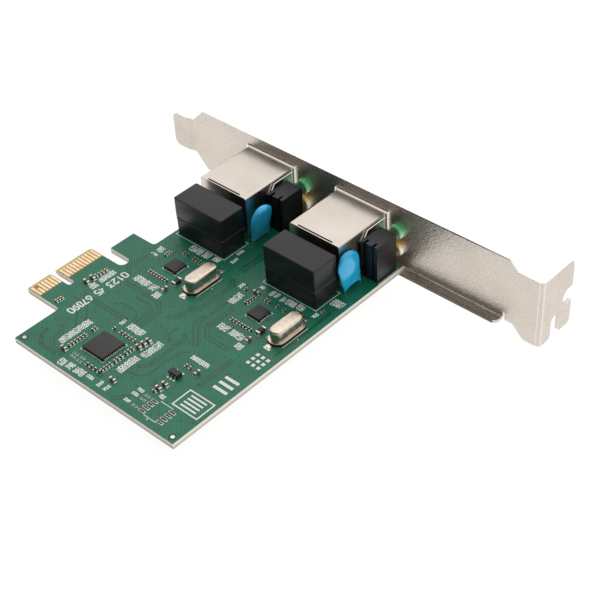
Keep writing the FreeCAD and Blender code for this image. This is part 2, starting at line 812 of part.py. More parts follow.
# lamps, their leads and their holders
for number, centre in enumerate(lamp_x):
    label = str(number + 1)
    holder = box(centre - holder_width / 2, centre + holder_width / 2, holder_rear_y, holder_front_y,
                 0.0, holder_height)
    holder_cuts = []
    for side in (-1, 1):
        groove_x = centre + side * lamp_lead_spacing / 2
        holder_cuts.append(box(groove_x - holder_groove_width / 2, groove_x + holder_groove_width / 2,
                               holder_rear_y, holder_rear_y + holder_groove_depth, 0.0, holder_height))
    for z in (lamp_high_z, lamp_low_z):
        holder_cuts.append(rod_along_y(centre, z, lamp_base_y, holder_front_y, lamp_bore_r))
    holder = holder.cut(Part.makeCompound(holder_cuts))
    holder = holder.cut(Part.makeCompound(all_lamp_leads[number]))
    save("lamp_holder_" + label, [holder])
    save("lamp_leads_" + label, all_lamp_leads[number])
    for name, z in (("green_lamp_", lamp_high_z), ("amber_lamp_", lamp_low_z)):
        flange = rod_along_y(centre, z, lamp_base_y, lamp_base_y + lamp_flange, lamp_flange_r)
        barrel = rod_along_y(centre, z, lamp_base_y, lamp_tip_y - lamp_r, lamp_r)
        dome = Part.makeSphere(lamp_r, FreeCAD.Vector(centre, lamp_tip_y - lamp_r, z))
        save(name + label, [flange.fuse(barrel).fuse(dome).removeSplitter()])

# disc capacitors, the coating runs down to both leads as a web with an arch between its feet
for number, foot_x in enumerate(disc_x):
    label = str(number + 1)
    centre_z = (disc_1_centre_z, disc_2_centre_z)[number]
    lean = (disc_1_lean, disc_2_lean)[number]
    half = disc_thickness / 2
    profile = [(-half, 0.0), (-half, disc_r, disc_edge_r), (half, disc_r, disc_edge_r), (half, 0.0)]
    disc = flat_face(profile, "xy", 0.0).revolve(FreeCAD.Vector(0, 0, 0), FreeCAD.Vector(1, 0, 0), 360)
    disc = disc.Solids[0]
    disc.translate(FreeCAD.Vector(foot_x, disc_y, centre_z))
    web_outline = [
        (disc_y - disc_r + disc_web_inset, centre_z),
        (disc_lead_y - disc_foot_reach, disc_foot_z),
        (disc_lead_y + disc_foot_reach, disc_foot_z),
        (disc_y + disc_r - disc_web_inset, centre_z),
    ]
    web_half = disc_web_thickness / 2
    web = slab(web_outline, "yz", foot_x - web_half, foot_x + web_half)
    arch_z = disc_foot_z + disc_arch_height - disc_arch_r
    arch = Part.makeCylinder(disc_arch_r, disc_thickness, FreeCAD.Vector(foot_x - half, disc_lead_y, arch_z),
                             FreeCAD.Vector(1, 0, 0))
    web = web.cut(arch)
    face_edges = []
    for edge in web.Edges:
        if edge.BoundBox.XLength < 0.001 and edge.BoundBox.ZMin < centre_z - 0.001:
            face_edges.append(edge)
    web = web.makeFillet(disc_web_edge_r, face_edges)
    disc = disc.fuse(web).removeSplitter()
    disc.rotate(FreeCAD.Vector(foot_x, disc_lead_y, disc_foot_z), FreeCAD.Vector(0, 1, 0), lean)
    disc = disc.cut(Part.makeCompound(all_disc_leads[number]))
    save("disc_capacitor_" + label, [disc])
    save("disc_capacitor_leads_" + label, all_disc_leads[number])


def round_ended(x, y, length, width, z0, z1):
    plan = rounded_rectangle(x - width / 2, x + width / 2, y - length / 2, y + length / 2, width / 2)
    return slab(plan, "xy", z0, z1)


# crystals: thin base, flanged can with round ends, two flat terminals
for number, (x, y) in enumerate(((crystal_1_x, crystal_1_y), (crystal_2_x, crystal_2_y))):
    label = str(number + 1)
    terminals = []
    for side in (-1, 1):
        middle = y + side * (crystal_terminal_inner + crystal_terminal_outer) / 2
        terminals.append(centred_box(x, middle, crystal_terminal_width,
                                     crystal_terminal_outer - crystal_terminal_inner,
                                     0.0, crystal_terminal_thickness))
    plate = round_ended(x, y, crystal_flange_length + 2 * crystal_base_margin,
                        crystal_flange_width + 2 * crystal_base_margin, 0.0, crystal_base_height)
    save("crystal_base_" + label, [plate.cut(Part.makeCompound(terminals))])
    save("crystal_terminals_" + label, terminals)
    flange_top = crystal_base_height + crystal_flange_height
    flange = round_ended(x, y, crystal_flange_length, crystal_flange_width, crystal_base_height, flange_top)
    rim = [edge for edge in flange.Edges if edge.BoundBox.ZMin > flange_top - 0.001]
    flange = flange.makeFillet(crystal_flange_edge_r, rim)
    shell = round_ended(x, y, crystal_can_length, crystal_can_width, crystal_base_height, crystal_top_z)
    rim = [edge for edge in shell.Edges if edge.BoundBox.ZMin > crystal_top_z - 0.001]
    shell = shell.makeFillet(crystal_can_edge_r, rim)
    save("crystal_can_" + label, [flange.fuse(shell)])


def leadless_chip(centre, size, per_side):
    contacts = []
    first = -(per_side - 1) * chip_contact_pitch / 2
    inward = size / 2 - chip_contact_length / 2
    for i in range(per_side):
        along = first + i * chip_contact_pitch
        for side in (-1, 1):
            contacts.append(centred_box(centre[0] + along, centre[1] + side * inward,
                                        chip_contact_width, chip_contact_length, 0.0, chip_contact_height))
            contacts.append(centred_box(centre[0] + side * inward, centre[1] + along,
                                        chip_contact_length, chip_contact_width, 0.0, chip_contact_height))
    body = centred_box(centre[0], centre[1], size, size, 0.0, chip_height)
    return body.cut(Part.makeCompound(contacts)), contacts


bridge_body, bridge_contacts = leadless_chip(bridge_place, bridge_size, bridge_contacts_per_side)
save("bridge_chip", [bridge_body])
save("bridge_chip_contacts", bridge_contacts)
for number, centre in enumerate(controller_places):
    label = str(number + 1)
    chip_body, chip_contacts = leadless_chip(centre, controller_size, controller_contacts_per_side)
    save("controller_chip_" + label, [chip_body])
    save("controller_chip_contacts_" + label, chip_contacts)

# voltage regulator with three leads on one side and two on the other
lead_path = [
    (regulator_width / 2, regulator_lead_exit_z),
    (regulator_width / 2 + 0.2, regulator_lead_exit_z),
    (regulator_width / 2 + 0.35, regulator_lead_sheet / 2),
    (regulator_lead_reach, regulator_lead_sheet / 2),
]
regulator_leads = []
for side, rows in ((-1, (-1, 0, 1)), (1, (-1, 1))):
    for row in rows:
        path = [(regulator_y + side * p[0], p[1]) for p in lead_path]
        lead_x = regulator_x + row * regulator_lead_pitch
        regulator_leads.append(slab(strip_outline(path, regulator_lead_sheet), "yz",
                                    lead_x - regulator_lead_width / 2, lead_x + regulator_lead_width / 2))
save("regulator", [centred_box(regulator_x, regulator_y, regulator_length, regulator_width,
                               regulator_base_z, regulator_top_z)])
save("regulator_leads", regulator_leads)

# chip capacitors, resistors and chokes: a body between two end terminals
end_terminals = []


def chip_part(x, y, axis, size):
    length, width, height, end = size
    body_length = length - 2 * end
    if axis == "x":
        body = centred_box(x, y, body_length, width, 0.0, height)
    else:
        body = centred_box(x, y, width, body_length, 0.0, height)
    for side in (-1, 1):
        shift = side * (length - end) / 2
        if axis == "x":
            end_terminals.append(centred_box(x + shift, y, end, width, 0.0, height))
        else:
            end_terminals.append(centred_box(x, y + shift, width, end, 0.0, height))
    return body


def chip_row(middle, shift_x, shift_y, step_x, step_y, count, axis, size):
    first_x = middle[0] + shift_x
    first_y = middle[1] + shift_y
    return [chip_part(first_x + i * step_x, first_y + i * step_y, axis, size) for i in range(count)]


edge_capacitors = chip_row(edge_place, -2.0, 2.5, 0.0, 2.0, 2, "x", large_chip)
edge_capacitors += chip_row(edge_place, -1.9, 5.65, 0.1, 0.95, 4, "x", small_chip)
edge_capacitors += chip_row(edge_place, -2.1, -6.9, 0.05, 0.8, 3, "x", small_chip)
save("edge_capacitors", edge_capacitors)

bridge_capacitors = chip_row(bridge_place, -6.75, -6.35, 0.0, 0.0, 1, "x", large_chip)
bridge_capacitors += chip_row(bridge_place, -6.45, -4.85, 0.0, 0.96, 6, "x", small_chip)
bridge_capacitors += chip_row(bridge_place, -0.55, 5.75, 1.15, 0.0, 5, "y", small_chip)
bridge_capacitors += chip_row(bridge_place, 5.85, -1.75, 0.0, 1.0, 3, "x", small_chip)
bridge_capacitors += chip_row(bridge_place, 6.55, 4.95, 0.15, 1.45, 3, "x", large_chip)
bridge_capacitors += chip_row(bridge_place, 10.05, -6.25, 0.0, 0.0, 1, "x", large_chip)
save("bridge_capacitors", bridge_capacitors)
bridge_resistors = chip_row(bridge_place, -6.25, 2.25, 0.0, 0.8, 2, "x", small_chip)
bridge_resistors += chip_row(bridge_place, -2.85, 5.65, 0.0, 0.0, 1, "y", small_chip)
bridge_resistors += chip_row(bridge_place, 5.85, -5.65, 0.0, 0.87, 4, "x", small_chip)
bridge_resistors += chip_row(bridge_place, 5.85, 1.65, 0.0, 1.0, 3, "x", small_chip)
bridge_resistors += chip_row(bridge_place, 1.55, -6.55, 1.35, 0.0, 4, "y", small_chip)
save("bridge_resistors", bridge_resistors)

controller_1_capacitors = chip_row(controller_places[0], -3.65, -5.2, 0.97, 0.0, 5, "y", small_chip)
controller_1_capacitors += chip_row(controller_places[0], 1.35, 5.15, 1.03, 0.0, 4, "y", small_chip)
controller_1_capacitors += chip_row(controller_places[0], 4.25, -7.65, 0.0, 0.0, 1, "y", large_chip)
save("controller_1_capacitors", controller_1_capacitors)
controller_1_resistors = chip_row(controller_places[0], 1.2, -5.2, 0.97, 0.0, 2, "y", small_chip)
controller_1_resistors += chip_row(controller_places[0], -5.2, 1.7, 0.05, 0.75, 3, "x", small_chip)
controller_1_resistors += chip_row(controller_places[0], -2.05, 5.15, 0.9, 0.0, 2, "y", small_chip)
save("controller_1_resistors", controller_1_resistors)

controller_2_capacitors = chip_row(controller_places[1], -3.6, -5.5, 1.02, 0.0, 4, "y", small_chip)
controller_2_capacitors += chip_row(controller_places[1], -5.8, 5.3, 0.0, 0.0, 1, "x", large_chip)
controller_2_capacitors += chip_row(controller_places[1], -2.1, 4.75, 1.0, 0.0, 2, "y", small_chip)
controller_2_capacitors += chip_row(controller_places[1], 4.5, -8.2, 0.0, 0.0, 1, "y", large_chip)
controller_2_capacitors += chip_row(controller_places[1], 11.0, 10.2, 0.0, 0.0, 1, "y", small_chip)
save("controller_2_capacitors", controller_2_capacitors)
controller_2_resistors = chip_row(controller_places[1], 0.48, -5.5, 1.02, 0.0, 3, "y", small_chip)
controller_2_resistors += chip_row(controller_places[1], -5.1, 1.0, 0.08, 0.88, 4, "x", small_chip)
controller_2_resistors += chip_row(controller_places[1], 1.6, 4.7, 2.2, 0.0, 2, "y", small_chip)
controller_2_resistors += chip_row(controller_places[1], -8.7, 4.5, 0.0, 0.0, 1, "y", small_chip)
save("controller_2_resistors", controller_2_resistors)

regulator_capacitors = chip_row(regulator_place, 0.4, -5.55, 0.15, 1.8, 2, "x", large_chip)
regulator_capacitors += chip_row(regulator_place, 0.2, -6.65, 0.0, 0.0, 1, "x", small_chip)
regulator_capacitors += chip_row(regulator_place, 3.5, 3.45, 0.0, 0.0, 1, "y", large_chip)
regulator_capacitors += chip_row(regulator_place, -0.2, 3.55, 1.2, 0.0, 2, "y", small_chip)
save("regulator_capacitors", regulator_capacitors)

supply_chokes = chip_row(controller_places[0], 4.6, -3.85, 0.0, 0.0, 1, "y", choke_chip)
supply_chokes += chip_row(controller_places[1], 4.7, -4.2, 0.0, 0.0, 1, "y", choke_chip)
save("supply_chokes", supply_chokes)
save("chip_end_terminals", end_terminals)
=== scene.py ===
import functools
import itertools
import math

import bpy
import numpy as np
from mathutils import Matrix, Vector


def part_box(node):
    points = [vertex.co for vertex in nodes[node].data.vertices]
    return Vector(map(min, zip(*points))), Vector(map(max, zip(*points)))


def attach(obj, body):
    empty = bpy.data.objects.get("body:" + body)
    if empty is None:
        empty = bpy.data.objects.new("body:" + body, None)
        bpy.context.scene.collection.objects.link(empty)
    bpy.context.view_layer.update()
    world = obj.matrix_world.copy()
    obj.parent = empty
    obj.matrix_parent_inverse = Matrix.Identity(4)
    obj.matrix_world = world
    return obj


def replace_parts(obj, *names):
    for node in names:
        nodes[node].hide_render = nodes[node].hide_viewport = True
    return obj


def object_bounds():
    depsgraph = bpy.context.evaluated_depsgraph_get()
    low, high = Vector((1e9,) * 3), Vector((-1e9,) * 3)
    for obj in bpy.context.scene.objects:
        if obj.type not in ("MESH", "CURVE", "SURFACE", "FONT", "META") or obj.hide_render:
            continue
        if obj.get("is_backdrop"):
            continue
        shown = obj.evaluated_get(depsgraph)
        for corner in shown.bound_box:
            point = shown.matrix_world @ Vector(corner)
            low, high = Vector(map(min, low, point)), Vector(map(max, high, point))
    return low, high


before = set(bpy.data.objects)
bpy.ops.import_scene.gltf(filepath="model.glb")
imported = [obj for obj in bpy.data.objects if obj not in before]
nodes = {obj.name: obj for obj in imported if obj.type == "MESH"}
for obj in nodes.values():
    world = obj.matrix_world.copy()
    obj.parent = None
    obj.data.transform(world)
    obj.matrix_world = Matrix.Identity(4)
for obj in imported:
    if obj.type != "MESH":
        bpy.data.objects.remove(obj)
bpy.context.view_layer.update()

# Sizes and places are in millimetres of the row frame, and MM turns them to metres.
MM = 0.001
BOARD_LOW = -1.6      # the far face of the board, whose component side is at 0
QUARTER = math.pi / 2

CHIP_CONTACTS = ("bridge_chip_contacts", "controller_chip_contacts_1", "controller_chip_contacts_2")
# rows of small parts, and the material slot of their bodies
SMALL_PARTS = {
    "edge_capacitors": "ceramic", "bridge_capacitors": "ceramic", "bridge_resistors": "resistor_glaze",
    "controller_1_capacitors": "ceramic", "controller_1_resistors": "resistor_glaze",
    "controller_2_capacitors": "ceramic", "controller_2_resistors": "resistor_glaze",
    "regulator_capacitors": "ceramic", "supply_chokes": "chip_compound",
}


# finishes

NOISE, MATH, MIX, RAMP, RANGE, STRETCH, SPLIT, SHADER, OUTPUT = ("ShaderNode" + kind for kind in (
    "TexNoise", "Math", "Mix", "ValToRGB", "MapRange", "Mapping", "SeparateXYZ", "BsdfPrincipled",
    "OutputMaterial"))
COLOUR_A, COLOUR_B, MIXED = 6, 7, 2      # sockets of a mix of colours
METAL = {"Metallic": 1.0}


def linear(code):
    """Linear colour of an sRGB hex code."""
    values = []
    for i in (1, 3, 5):
        c = int(code[i:i + 2], 16) / 255
        values.append(c / 12.92 if c <= 0.04045 else ((c + 0.055) / 1.055) ** 2.4)
    return (*values, 1.0)


def add_node(tree, kind, inputs=(), stops=(), **settings):
    """Adds one node and returns its outputs. Settings are the node's own values. An input, given by
    name or in order, is linked if it is another node's output and set otherwise. Stops are a ramp's
    positions with their colours or levels. A hex code stands for its linear colour."""
    node = tree.nodes.new(kind)
    for key, value in settings.items():
        setattr(node, key, value)
    for key, value in inputs.items() if isinstance(inputs, dict) else enumerate(inputs):
        if isinstance(value, bpy.types.NodeSocket):
            tree.links.new(value, node.inputs[key])
        else:
            node.inputs[key].default_value = linear(value) if isinstance(value, str) else value
    for _ in stops[2:]:
        node.color_ramp.elements.new(0.5)
    for i, (position, value) in enumerate(stops):
        element = node.color_ramp.elements[i]
        element.position = position
        element.color = linear(value) if isinstance(value, str) else (value, value, value, 1.0)
    return node.outputs


def new_finish(name):
    """An empty material, the way to add nodes to it, and the Object coordinates in millimetres."""
    material = bpy.data.materials.new(name)
    material.use_nodes = True
    material.node_tree.nodes.clear()
    add = functools.partial(add_node, material.node_tree)
    metres = add("ShaderNodeTexCoord")["Object"]
    return material, add, add("ShaderNodeVectorMath", {0: metres, "Scale": 1 / MM}, operation="SCALE")[0]


def shade(add, inputs, relief, strength, depth):
    """Ends a material: a shader with the given inputs, and a relief of so many mm."""
    normal = add("ShaderNodeBump", {"Height": relief, "Strength": strength, "Distance": depth * MM})[0]
    add(OUTPUT, [add(SHADER, {**inputs, "Normal": normal})[0]])


def band(add, value, low, high, soft, level=1.0):
    """The level where a value lies between low and high, falling to 0 over the width soft at each
    end: the product of a straight rise and a straight fall, both held between their ends."""
    rise = add(RANGE, {"Value": value, "From Min": low, "From Max": low + soft, "To Max": level})[0]
    fall = add(RANGE, {"Value": value, "From Min": high, "From Max": high - soft})[0]
    return add(MATH, [rise, fall], operation="MULTIPLY")[0]


def coats(add, colour, layers):
    """The colour under a series of others, each laid over the last with its own share."""
    for share, layer in layers:
        colour = add(MIX, {0: share, COLOUR_A: colour, COLOUR_B: layer}, data_type="RGBA")[MIXED]
    return colour


def mottled(name, dark, light, drift, rough, grain=0.125, strength=0.15, depth=0.01, more=()):
    """A finish whose colour goes from dark to light, and its roughness from the first value to the
    second, with noise of the width drift. Noise of the width grain is its relief. Grains under
    about 0.3 mm are too fine to show one by one and only soften the reflections."""
    material, add, place = new_finish(name)
    cloud = add(NOISE, {"Vector": place, "Scale": 1 / drift, "Detail": 3.0})[0]
    colour = add(RAMP, [cloud], [(0.3, dark), (0.7, light)])[0]
    roughness = add(RAMP, [cloud], [(0.3, rough[0]), (0.7, rough[1])])[0]
    shade(add, {"Base Color": colour, "Roughness": roughness, **dict(more)},
          add(NOISE, {"Vector": place, "Scale": 1 / grain})[0], strength, depth)
    return material


def solder_mask_board():
    """Satin green mask over woven glass laminate. A faint copper hatch shows through on both faces:
    a sine of the sum of x and y, hatch_pitch from line to line along either. Round the edge
    contacts the faces are bare brown laminate, with a pale bevel in front. The cut edges are
    layered cream laminate, paler in their upper half."""
    hatch_pitch = 0.8
    tongue_x, tongue_y, pale_z = (-1.0, 5.15), (-8.3, 12.3), (-0.9, 0.1)
    material, add, place = new_finish("green_solder_mask_on_glass_laminate")
    x, y, z = add(SPLIT, [place])
    slope = add(SPLIT, [add("ShaderNodeNewGeometry")["Normal"]])[2]
    steep = add(MATH, [slope], operation="ABSOLUTE")[0]
    face, bevel = (add(MATH, [steep, limit], operation="GREATER_THAN")[0] for limit in (0.99, 0.5))

    # mask with hatch, its colour drifting over about 11 mm
    drift = add(NOISE, {"Vector": place, "Scale": 1 / 11.11, "Detail": 3.0})[0]
    mask = add(RAMP, [drift], [(0.35, "#07654a"), (0.7, "#0f7255")])[0]
    along = add(MATH, [x, y], operation="ADD")[0]
    wave = add(MATH, [along, 2 * math.pi / hatch_pitch], operation="MULTIPLY")[0]
    wave = add(MATH, [wave], operation="SINE")[0]
    lines = add(RAMP, [wave], [(0.0, 0.0), (0.8, 1.0)])[0]
    patches = add(NOISE, {"Vector": place, "Scale": 1 / 4.0})[0]
    patches = add(RAMP, [patches], [(0.35, 0.25), (0.6, 0.9)])[0]
    hatch = add(MATH, [lines, patches], operation="MULTIPLY")[0]

    # bare laminate of the tongue, with weave blotches of about 0.7 mm
    blotches = add(NOISE, {"Vector": place, "Scale": 1 / 0.667})[0]
    bare = add(RAMP, [blotches], [(0.4, "#ab7140"), (0.6, "#c38a52")])[0]
    tongue = [band(add, x, *tongue_x, 0.05), band(add, y, *tongue_y, 0.05)]
    tongue = add(MATH, tongue, operation="MULTIPLY")[0]
    top = coats(add, mask, [(hatch, "#1b8768"), (tongue, bare)])

    # cut edges, with layers a quarter as high as they are long
    layers = add(STRETCH, {0: place, "Scale": (1.0, 1.0, 4.0)})[0]
    layers = add(NOISE, {"Vector": layers, "Scale": 1 / 0.333, "Detail": 3.0})[0]
    colour = coats(add, "#c0b6ab", [(layers, "#d6cdc4"), (band(add, z, *pale_z, 0.12), "#efe9d9"),
                                    (bevel, "#d2c88f"), (face, top)])
    satin = add(RAMP, [drift], [(0.3, 0.36), (0.7, 0.44)])[0]
    roughness = coats(add, (0.75, 0.75, 0.75, 1.0), [(face, satin)])
    low_wave = add(MATH, [wave, 0.25], operation="MULTIPLY")[0]
    relief = add(NOISE, {"Vector": place, "Scale": 1 / 0.4545})[0]
    relief = add(MATH, [low_wave, relief], operation="ADD")[0]
    shade(add, {"Base Color": colour, "Roughness": roughness}, relief, 0.06, 0.01)
    return material


def plated_bracket_steel():
    """Sheet steel with satin plating: soft reflections broken up by a grain, drawn 0.4 to 0.8 mm
    wide so that it shows, with faint clouds and lengthwise rolling marks. Faces that look up near
    the sheared upper edge are painted white, a painted highlight, with a painted shade line just
    below it. Two painted highlight lines mark the ends of the tab's bend, and the lip's free edge
    is painted dark, a painted shade."""
    # places of the painted shade line, the painted bend highlights and the painted lip shade
    dark_line_z, dark_line_x = (15.5, 17.0), (60.0, 105.0)
    bend_start, bend_end = (103.75, 104.1), (104.75, 105.0)
    lip_edge_y, lip_top_z, tab_low_z = 55.12, -1.3, 10.0
    material, add, place = new_finish("satin_plated_sheet_steel")
    x, y, z = add(SPLIT, [place])
    slope = add(SPLIT, [add("ShaderNodeNewGeometry")["Normal"]])[2]
    clouds = add(NOISE, {"Vector": place, "Scale": 1 / 12.5, "Detail": 4.0})[0]
    grain = add(NOISE, {"Vector": place, "Scale": 1 / 0.3846})[0]
    flecks = add(NOISE, {"Vector": place, "Scale": 1 / 0.7692, "Detail": 4.0, "Roughness": 0.75})[0]
    # painted light: a painted shade line under the upper edge, painted highlights at the ends of the tab's
    # bend, painted white highlight on faces that look up, and painted shade on the lip's free edge
    painted_edge_shade_line = [band(add, z, *dark_line_z, 0.1, 0.9), band(add, x, *dark_line_x, 20.0)]
    bends = [band(add, x, *bend_start, 0.1, 0.6), band(add, x, *bend_end, 0.05, 0.6)]
    painted_top_highlight = [add(MATH, [value, limit], operation="GREATER_THAN")[0]
                  for value, limit in ((slope, 0.3), (z, tab_low_z))]
    painted_lip_shade = [add(MATH, [value, limit], operation="LESS_THAN")[0]
                for value, limit in ((y, lip_edge_y), (z, lip_top_z))]
    colour = coats(add, add(RAMP, [clouds], [(0.35, "#d6ccc2"), (0.7, "#e2d8ce")])[0], [
        (add(RAMP, [grain], [(0.6, 0.0), (0.7, 0.12)])[0], "#a2988e"),
        (add(RAMP, [flecks], [(0.38, 0.1), (0.62, 0.0)])[0], "#8d857c"),
        (add(MATH, painted_edge_shade_line, operation="MULTIPLY")[0], "#40372f"),
        (add(MATH, bends, operation="ADD")[0], "#f7f0e8"),
        (add(MATH, painted_top_highlight, operation="MULTIPLY")[0], "#ffffff"),
        (add(MATH, painted_lip_shade, operation="MULTIPLY")[0], "#6b6056")])
    roughness = add(RAMP, [grain], [(0.4, 0.27), (0.6, 0.46)])[0]
    marks = add(STRETCH, {0: place, "Scale": (0.25, 1.0, 1.0)})[0]
    marks = add(NOISE, {"Vector": marks, "Scale": 1 / 0.6667, "Detail": 3.0})[0]
    marks = add(MATH, [marks, 0.3], operation="MULTIPLY")[0]
    waves = add(NOISE, {"Vector": place, "Scale": 1 / 0.5263, "Detail": 3.0, "Roughness": 0.6})[0]
    relief = add(MATH, [marks, waves], operation="ADD")[0]
    shade(add, {"Base Color": colour, "Roughness": roughness, **METAL}, relief, 1.0, 0.11)
    return material


def lamp_resin(name, low, high, stops, painted_holder_shade, front):
    """Clear cast epoxy with a tint, which looks lit from within. Between the holder and the bracket
    its colour goes with the height z from low to high through the stops, whose pale part is a
    painted highlight, and next to the holder it is darkened to a painted shade. The domes at the
    front of the bracket have the resin's own tint."""
    holder_end, plate_start, past_lamp = 56.3, 57.8, 62.0
    material, add, place = new_finish(name)
    _, y, z = add(SPLIT, [place])
    height = add(RANGE, {"Value": z, "From Min": low, "From Max": high})[0]
    swirl = add(NOISE, {"Vector": place, "Scale": 1.0})[0]
    swirl = add(MATH, [swirl, 0.06], operation="MULTIPLY")[0]
    level = add(MATH, [height, swirl], operation="ADD")[0]
    # painted light: the pale part of the height ramp is a painted highlight, and the dark colour used next to
    # the holder is painted shade
    colour = coats(add, painted_holder_shade, [(band(add, y, holder_end, past_lamp, 0.5), add(RAMP, [level], stops)[0]),
                               (band(add, y, plate_start, past_lamp, 0.1), front)])
    shader = add(SHADER, {"Base Color": colour, "Roughness": 0.16, "Transmission Weight": 0.1,
                          "Coat Weight": 0.3, "Emission Color": colour, "Emission Strength": 0.4})[0]
    add(OUTPUT, [shader])
    return material


green_mask = solder_mask_board()
bracket_steel = plated_bracket_steel()
# Mask over tracks and holes: darker and glossier than over the laminate.
mask_on_copper = mottled("green_mask_over_copper_tracks", "#0d543d", "#155f47", 3.33, (0.26, 0.34), 0.333, 0.06)
tented_via = mottled("mask_in_via_holes", "#06402b", "#0d5239", 1.0, (0.25, 0.35))
# Hard gold over nickel: a pale warm metal with soft reflections.
gold_plate = mottled("hard_gold_plating", "#edc993", "#fbe6c2", 1.667, (0.22, 0.36), 0.2, 0.1, more=METAL)
# Bright nickel on drawn sheet: almost a mirror, a little warm. Its rims and turned cuts are
# painted near white and glow a little, a painted highlight.
shield_plate = mottled("bright_nickel_plated_sheet", "#d4cac0", "#dcd3c9", 6.667, (0.26, 0.33), 0.5, 0.04,
                       more=METAL)
painted_highlight_edge = mottled("painted_highlight_sheet_edge", "#f2ede6", "#fffcf7", 1.0, (0.35, 0.45), 0.333, 0.05,
                      more={"Emission Color": (1.0, 0.98, 0.95, 1.0), "Emission Strength": 0.45})
# Zinc on turned steel: grey with a fine sparkle.
screw_zinc = mottled("zinc_plated_screw_steel", "#b9b4ab", "#d6d1c8", 0.833, (0.28, 0.4), 0.167, more=METAL)
# Tin and solder: white metals, the solder smoother. On bare pads the solder is painted dark and
# brownish, a painted shade and reflection.
tin = mottled("tin_plated_copper", "#d6cdbf", "#f8f1e6", 0.5, (0.22, 0.36), 0.125, 0.2, more=METAL)
solder = mottled("bright_solder", "#c2beb8", "#ebe8e3", 0.4, (0.14, 0.28), 0.2, 0.2, more=METAL)
painted_dark_solder = mottled("solder_painted_dark", "#3d332d", "#857a71", 0.625, (0.12, 0.25), 0.2, 0.2, more=METAL)
# Moulded black plastics: satin housings, smoother epoxy with a crisp highlight, duller grey chips,
# a brownish base under the crystals, and a lighter line where two halves of a mould met.
black_moulding = mottled("black_moulded_plastic", "#131314", "#1b1b1c", 1.25, (0.38, 0.46), 0.111, 0.2)
black_epoxy = mottled("satin_black_epoxy", "#151314", "#1d1b1c", 2.0, (0.3, 0.38), 0.167, 0.12,
                      more={"Specular IOR Level": 0.43})
chip_compound = mottled("grey_chip_moulding_compound", "#262123", "#302b2c", 0.667, (0.42, 0.5), 0.083, 0.25)
crystal_base = mottled("dark_glass_filled_base", "#1d1411", "#2b1e19", 1.0, (0.4, 0.5))
parting_line = mottled("moulding_parting_line", "#434243", "#5a595a", 0.667, (0.4, 0.5))
# Dipped and cured lacquer: glossy and slightly wavy.
blue_coating = mottled("glossy_blue_dipped_coating", "#18b0e6", "#35c6f8", 2.857, (0.1, 0.18),
                       0.833, 0.12, 0.04, {"Coat Weight": 0.4})
# Fired ceramic is matt and earthy, and the glaze of the resistors is dark and shiny.
ceramic_tan = mottled("fired_tan_ceramic", "#54301f", "#84604a", 0.833, (0.35, 0.5), 0.1, 0.2)
dark_glaze = mottled("dark_resistor_glaze", "#141110", "#241f1c", 0.5, (0.25, 0.4))
# Drawn nickel silver: a warm metal that mirrors the board softly.
crystal_metal = mottled("drawn_nickel_silver", "#cdbcab", "#e4d7c8", 1.111, (0.2, 0.3), 0.333, 0.08, more=METAL)
# lamp resins with a painted highlight low down and painted shade next to the holders
green_resin = lamp_resin("green_lamp_resin_painted_light", 6.2, 10.0,
                         [(0.2, "#f6faf6"), (0.38, "#a9dcb6"), (0.65, "#74cc90"), (0.95, "#4fae6d")],
                         "#1c4a30", "#2f8f50")
amber_resin = lamp_resin("amber_lamp_resin_painted_light", 1.1, 4.9,
                         [(0.1, "#fbf8f2"), (0.7, "#f8f2e6"), (0.9, "#ddc68c"), (1.0, "#b08c3a")],
                         "#4a3a1c", "#cf8a24")
# Screen-printed ink: chalky white.
silk_ink = mottled("white_printed_ink", "#eef2ec", "#fdfefb", 0.333, (0.5, 0.65), 0.0714, 0.3)

finishes = {name: finish for finish, names in (
    (green_mask, "circuit_board"), (bracket_steel, "slot_bracket"), (screw_zinc, "bracket_screws"),
    (gold_plate, "edge_contacts port_contacts"), (shield_plate, "port_shield"),
    (black_moulding, "port_body lamp_holder"), (black_epoxy, "transformer_cover transformer_base"),
    (tin, "transformer_pins lamp_leads disc_capacitor_leads crystal_terminals regulator_leads "
          "bridge_chip_contacts controller_chip_contacts chip_end_terminals"),
    (green_resin, "green_lamp"), (amber_resin, "amber_lamp"), (blue_coating, "disc_capacitor"),
    (crystal_base, "crystal_base"), (crystal_metal, "crystal_can"),
    (chip_compound, "bridge_chip controller_chip regulator")) for name in names.split()}
small_finishes = {"ceramic": ceramic_tan, "resistor_glaze": dark_glaze, "chip_compound": chip_compound}
finishes.update({name: small_finishes[slot] for name, slot in SMALL_PARTS.items()})


def finish_of(name):
    """The finish whose key is the longest start of the node's name."""
    return finishes[max((key for key in finishes if name.startswith(key)), key=len)]


for name, node in nodes.items():
    node.data.materials.clear()
    node.data.materials.append(finish_of(name))


# surfaces: each is its points in mm and a list of face arrays, one for each length of face

def piece(name, parts, finish, smooth=True):
    """One mesh object of several surfaces, standing at the origin of the row frame."""
    points, faces, base = [], [], 0
    for part_points, part_faces in parts:
        points.append(part_points)
        for block in part_faces:
            faces.extend((block + base).tolist())
        base += len(part_points)
    mesh = bpy.data.meshes.new(name)
    mesh.from_pydata((np.concatenate(points) * MM).tolist(), [], faces)
    mesh.validate()
    mesh.update()
    made = bpy.data.objects.new(name, mesh)
    bpy.context.scene.collection.objects.link(made)
    mesh.materials.append(finish)
    if smooth:
        mesh.shade_smooth()
        mesh.set_sharp_from_angle(angle=math.radians(38))
    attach(made, "root")
    return made


def box_of(name):
    """Lowest and highest corner of a CAD node."""
    low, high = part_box(name)
    return np.array(low) / MM, np.array(high) / MM


def points_of(name):
    """The points of a CAD node's mesh."""
    vertices = nodes[name].data.vertices
    flat = np.empty(3 * len(vertices), np.float32)
    vertices.foreach_get("co", flat)
    return flat.reshape(-1, 3).astype(float) / MM


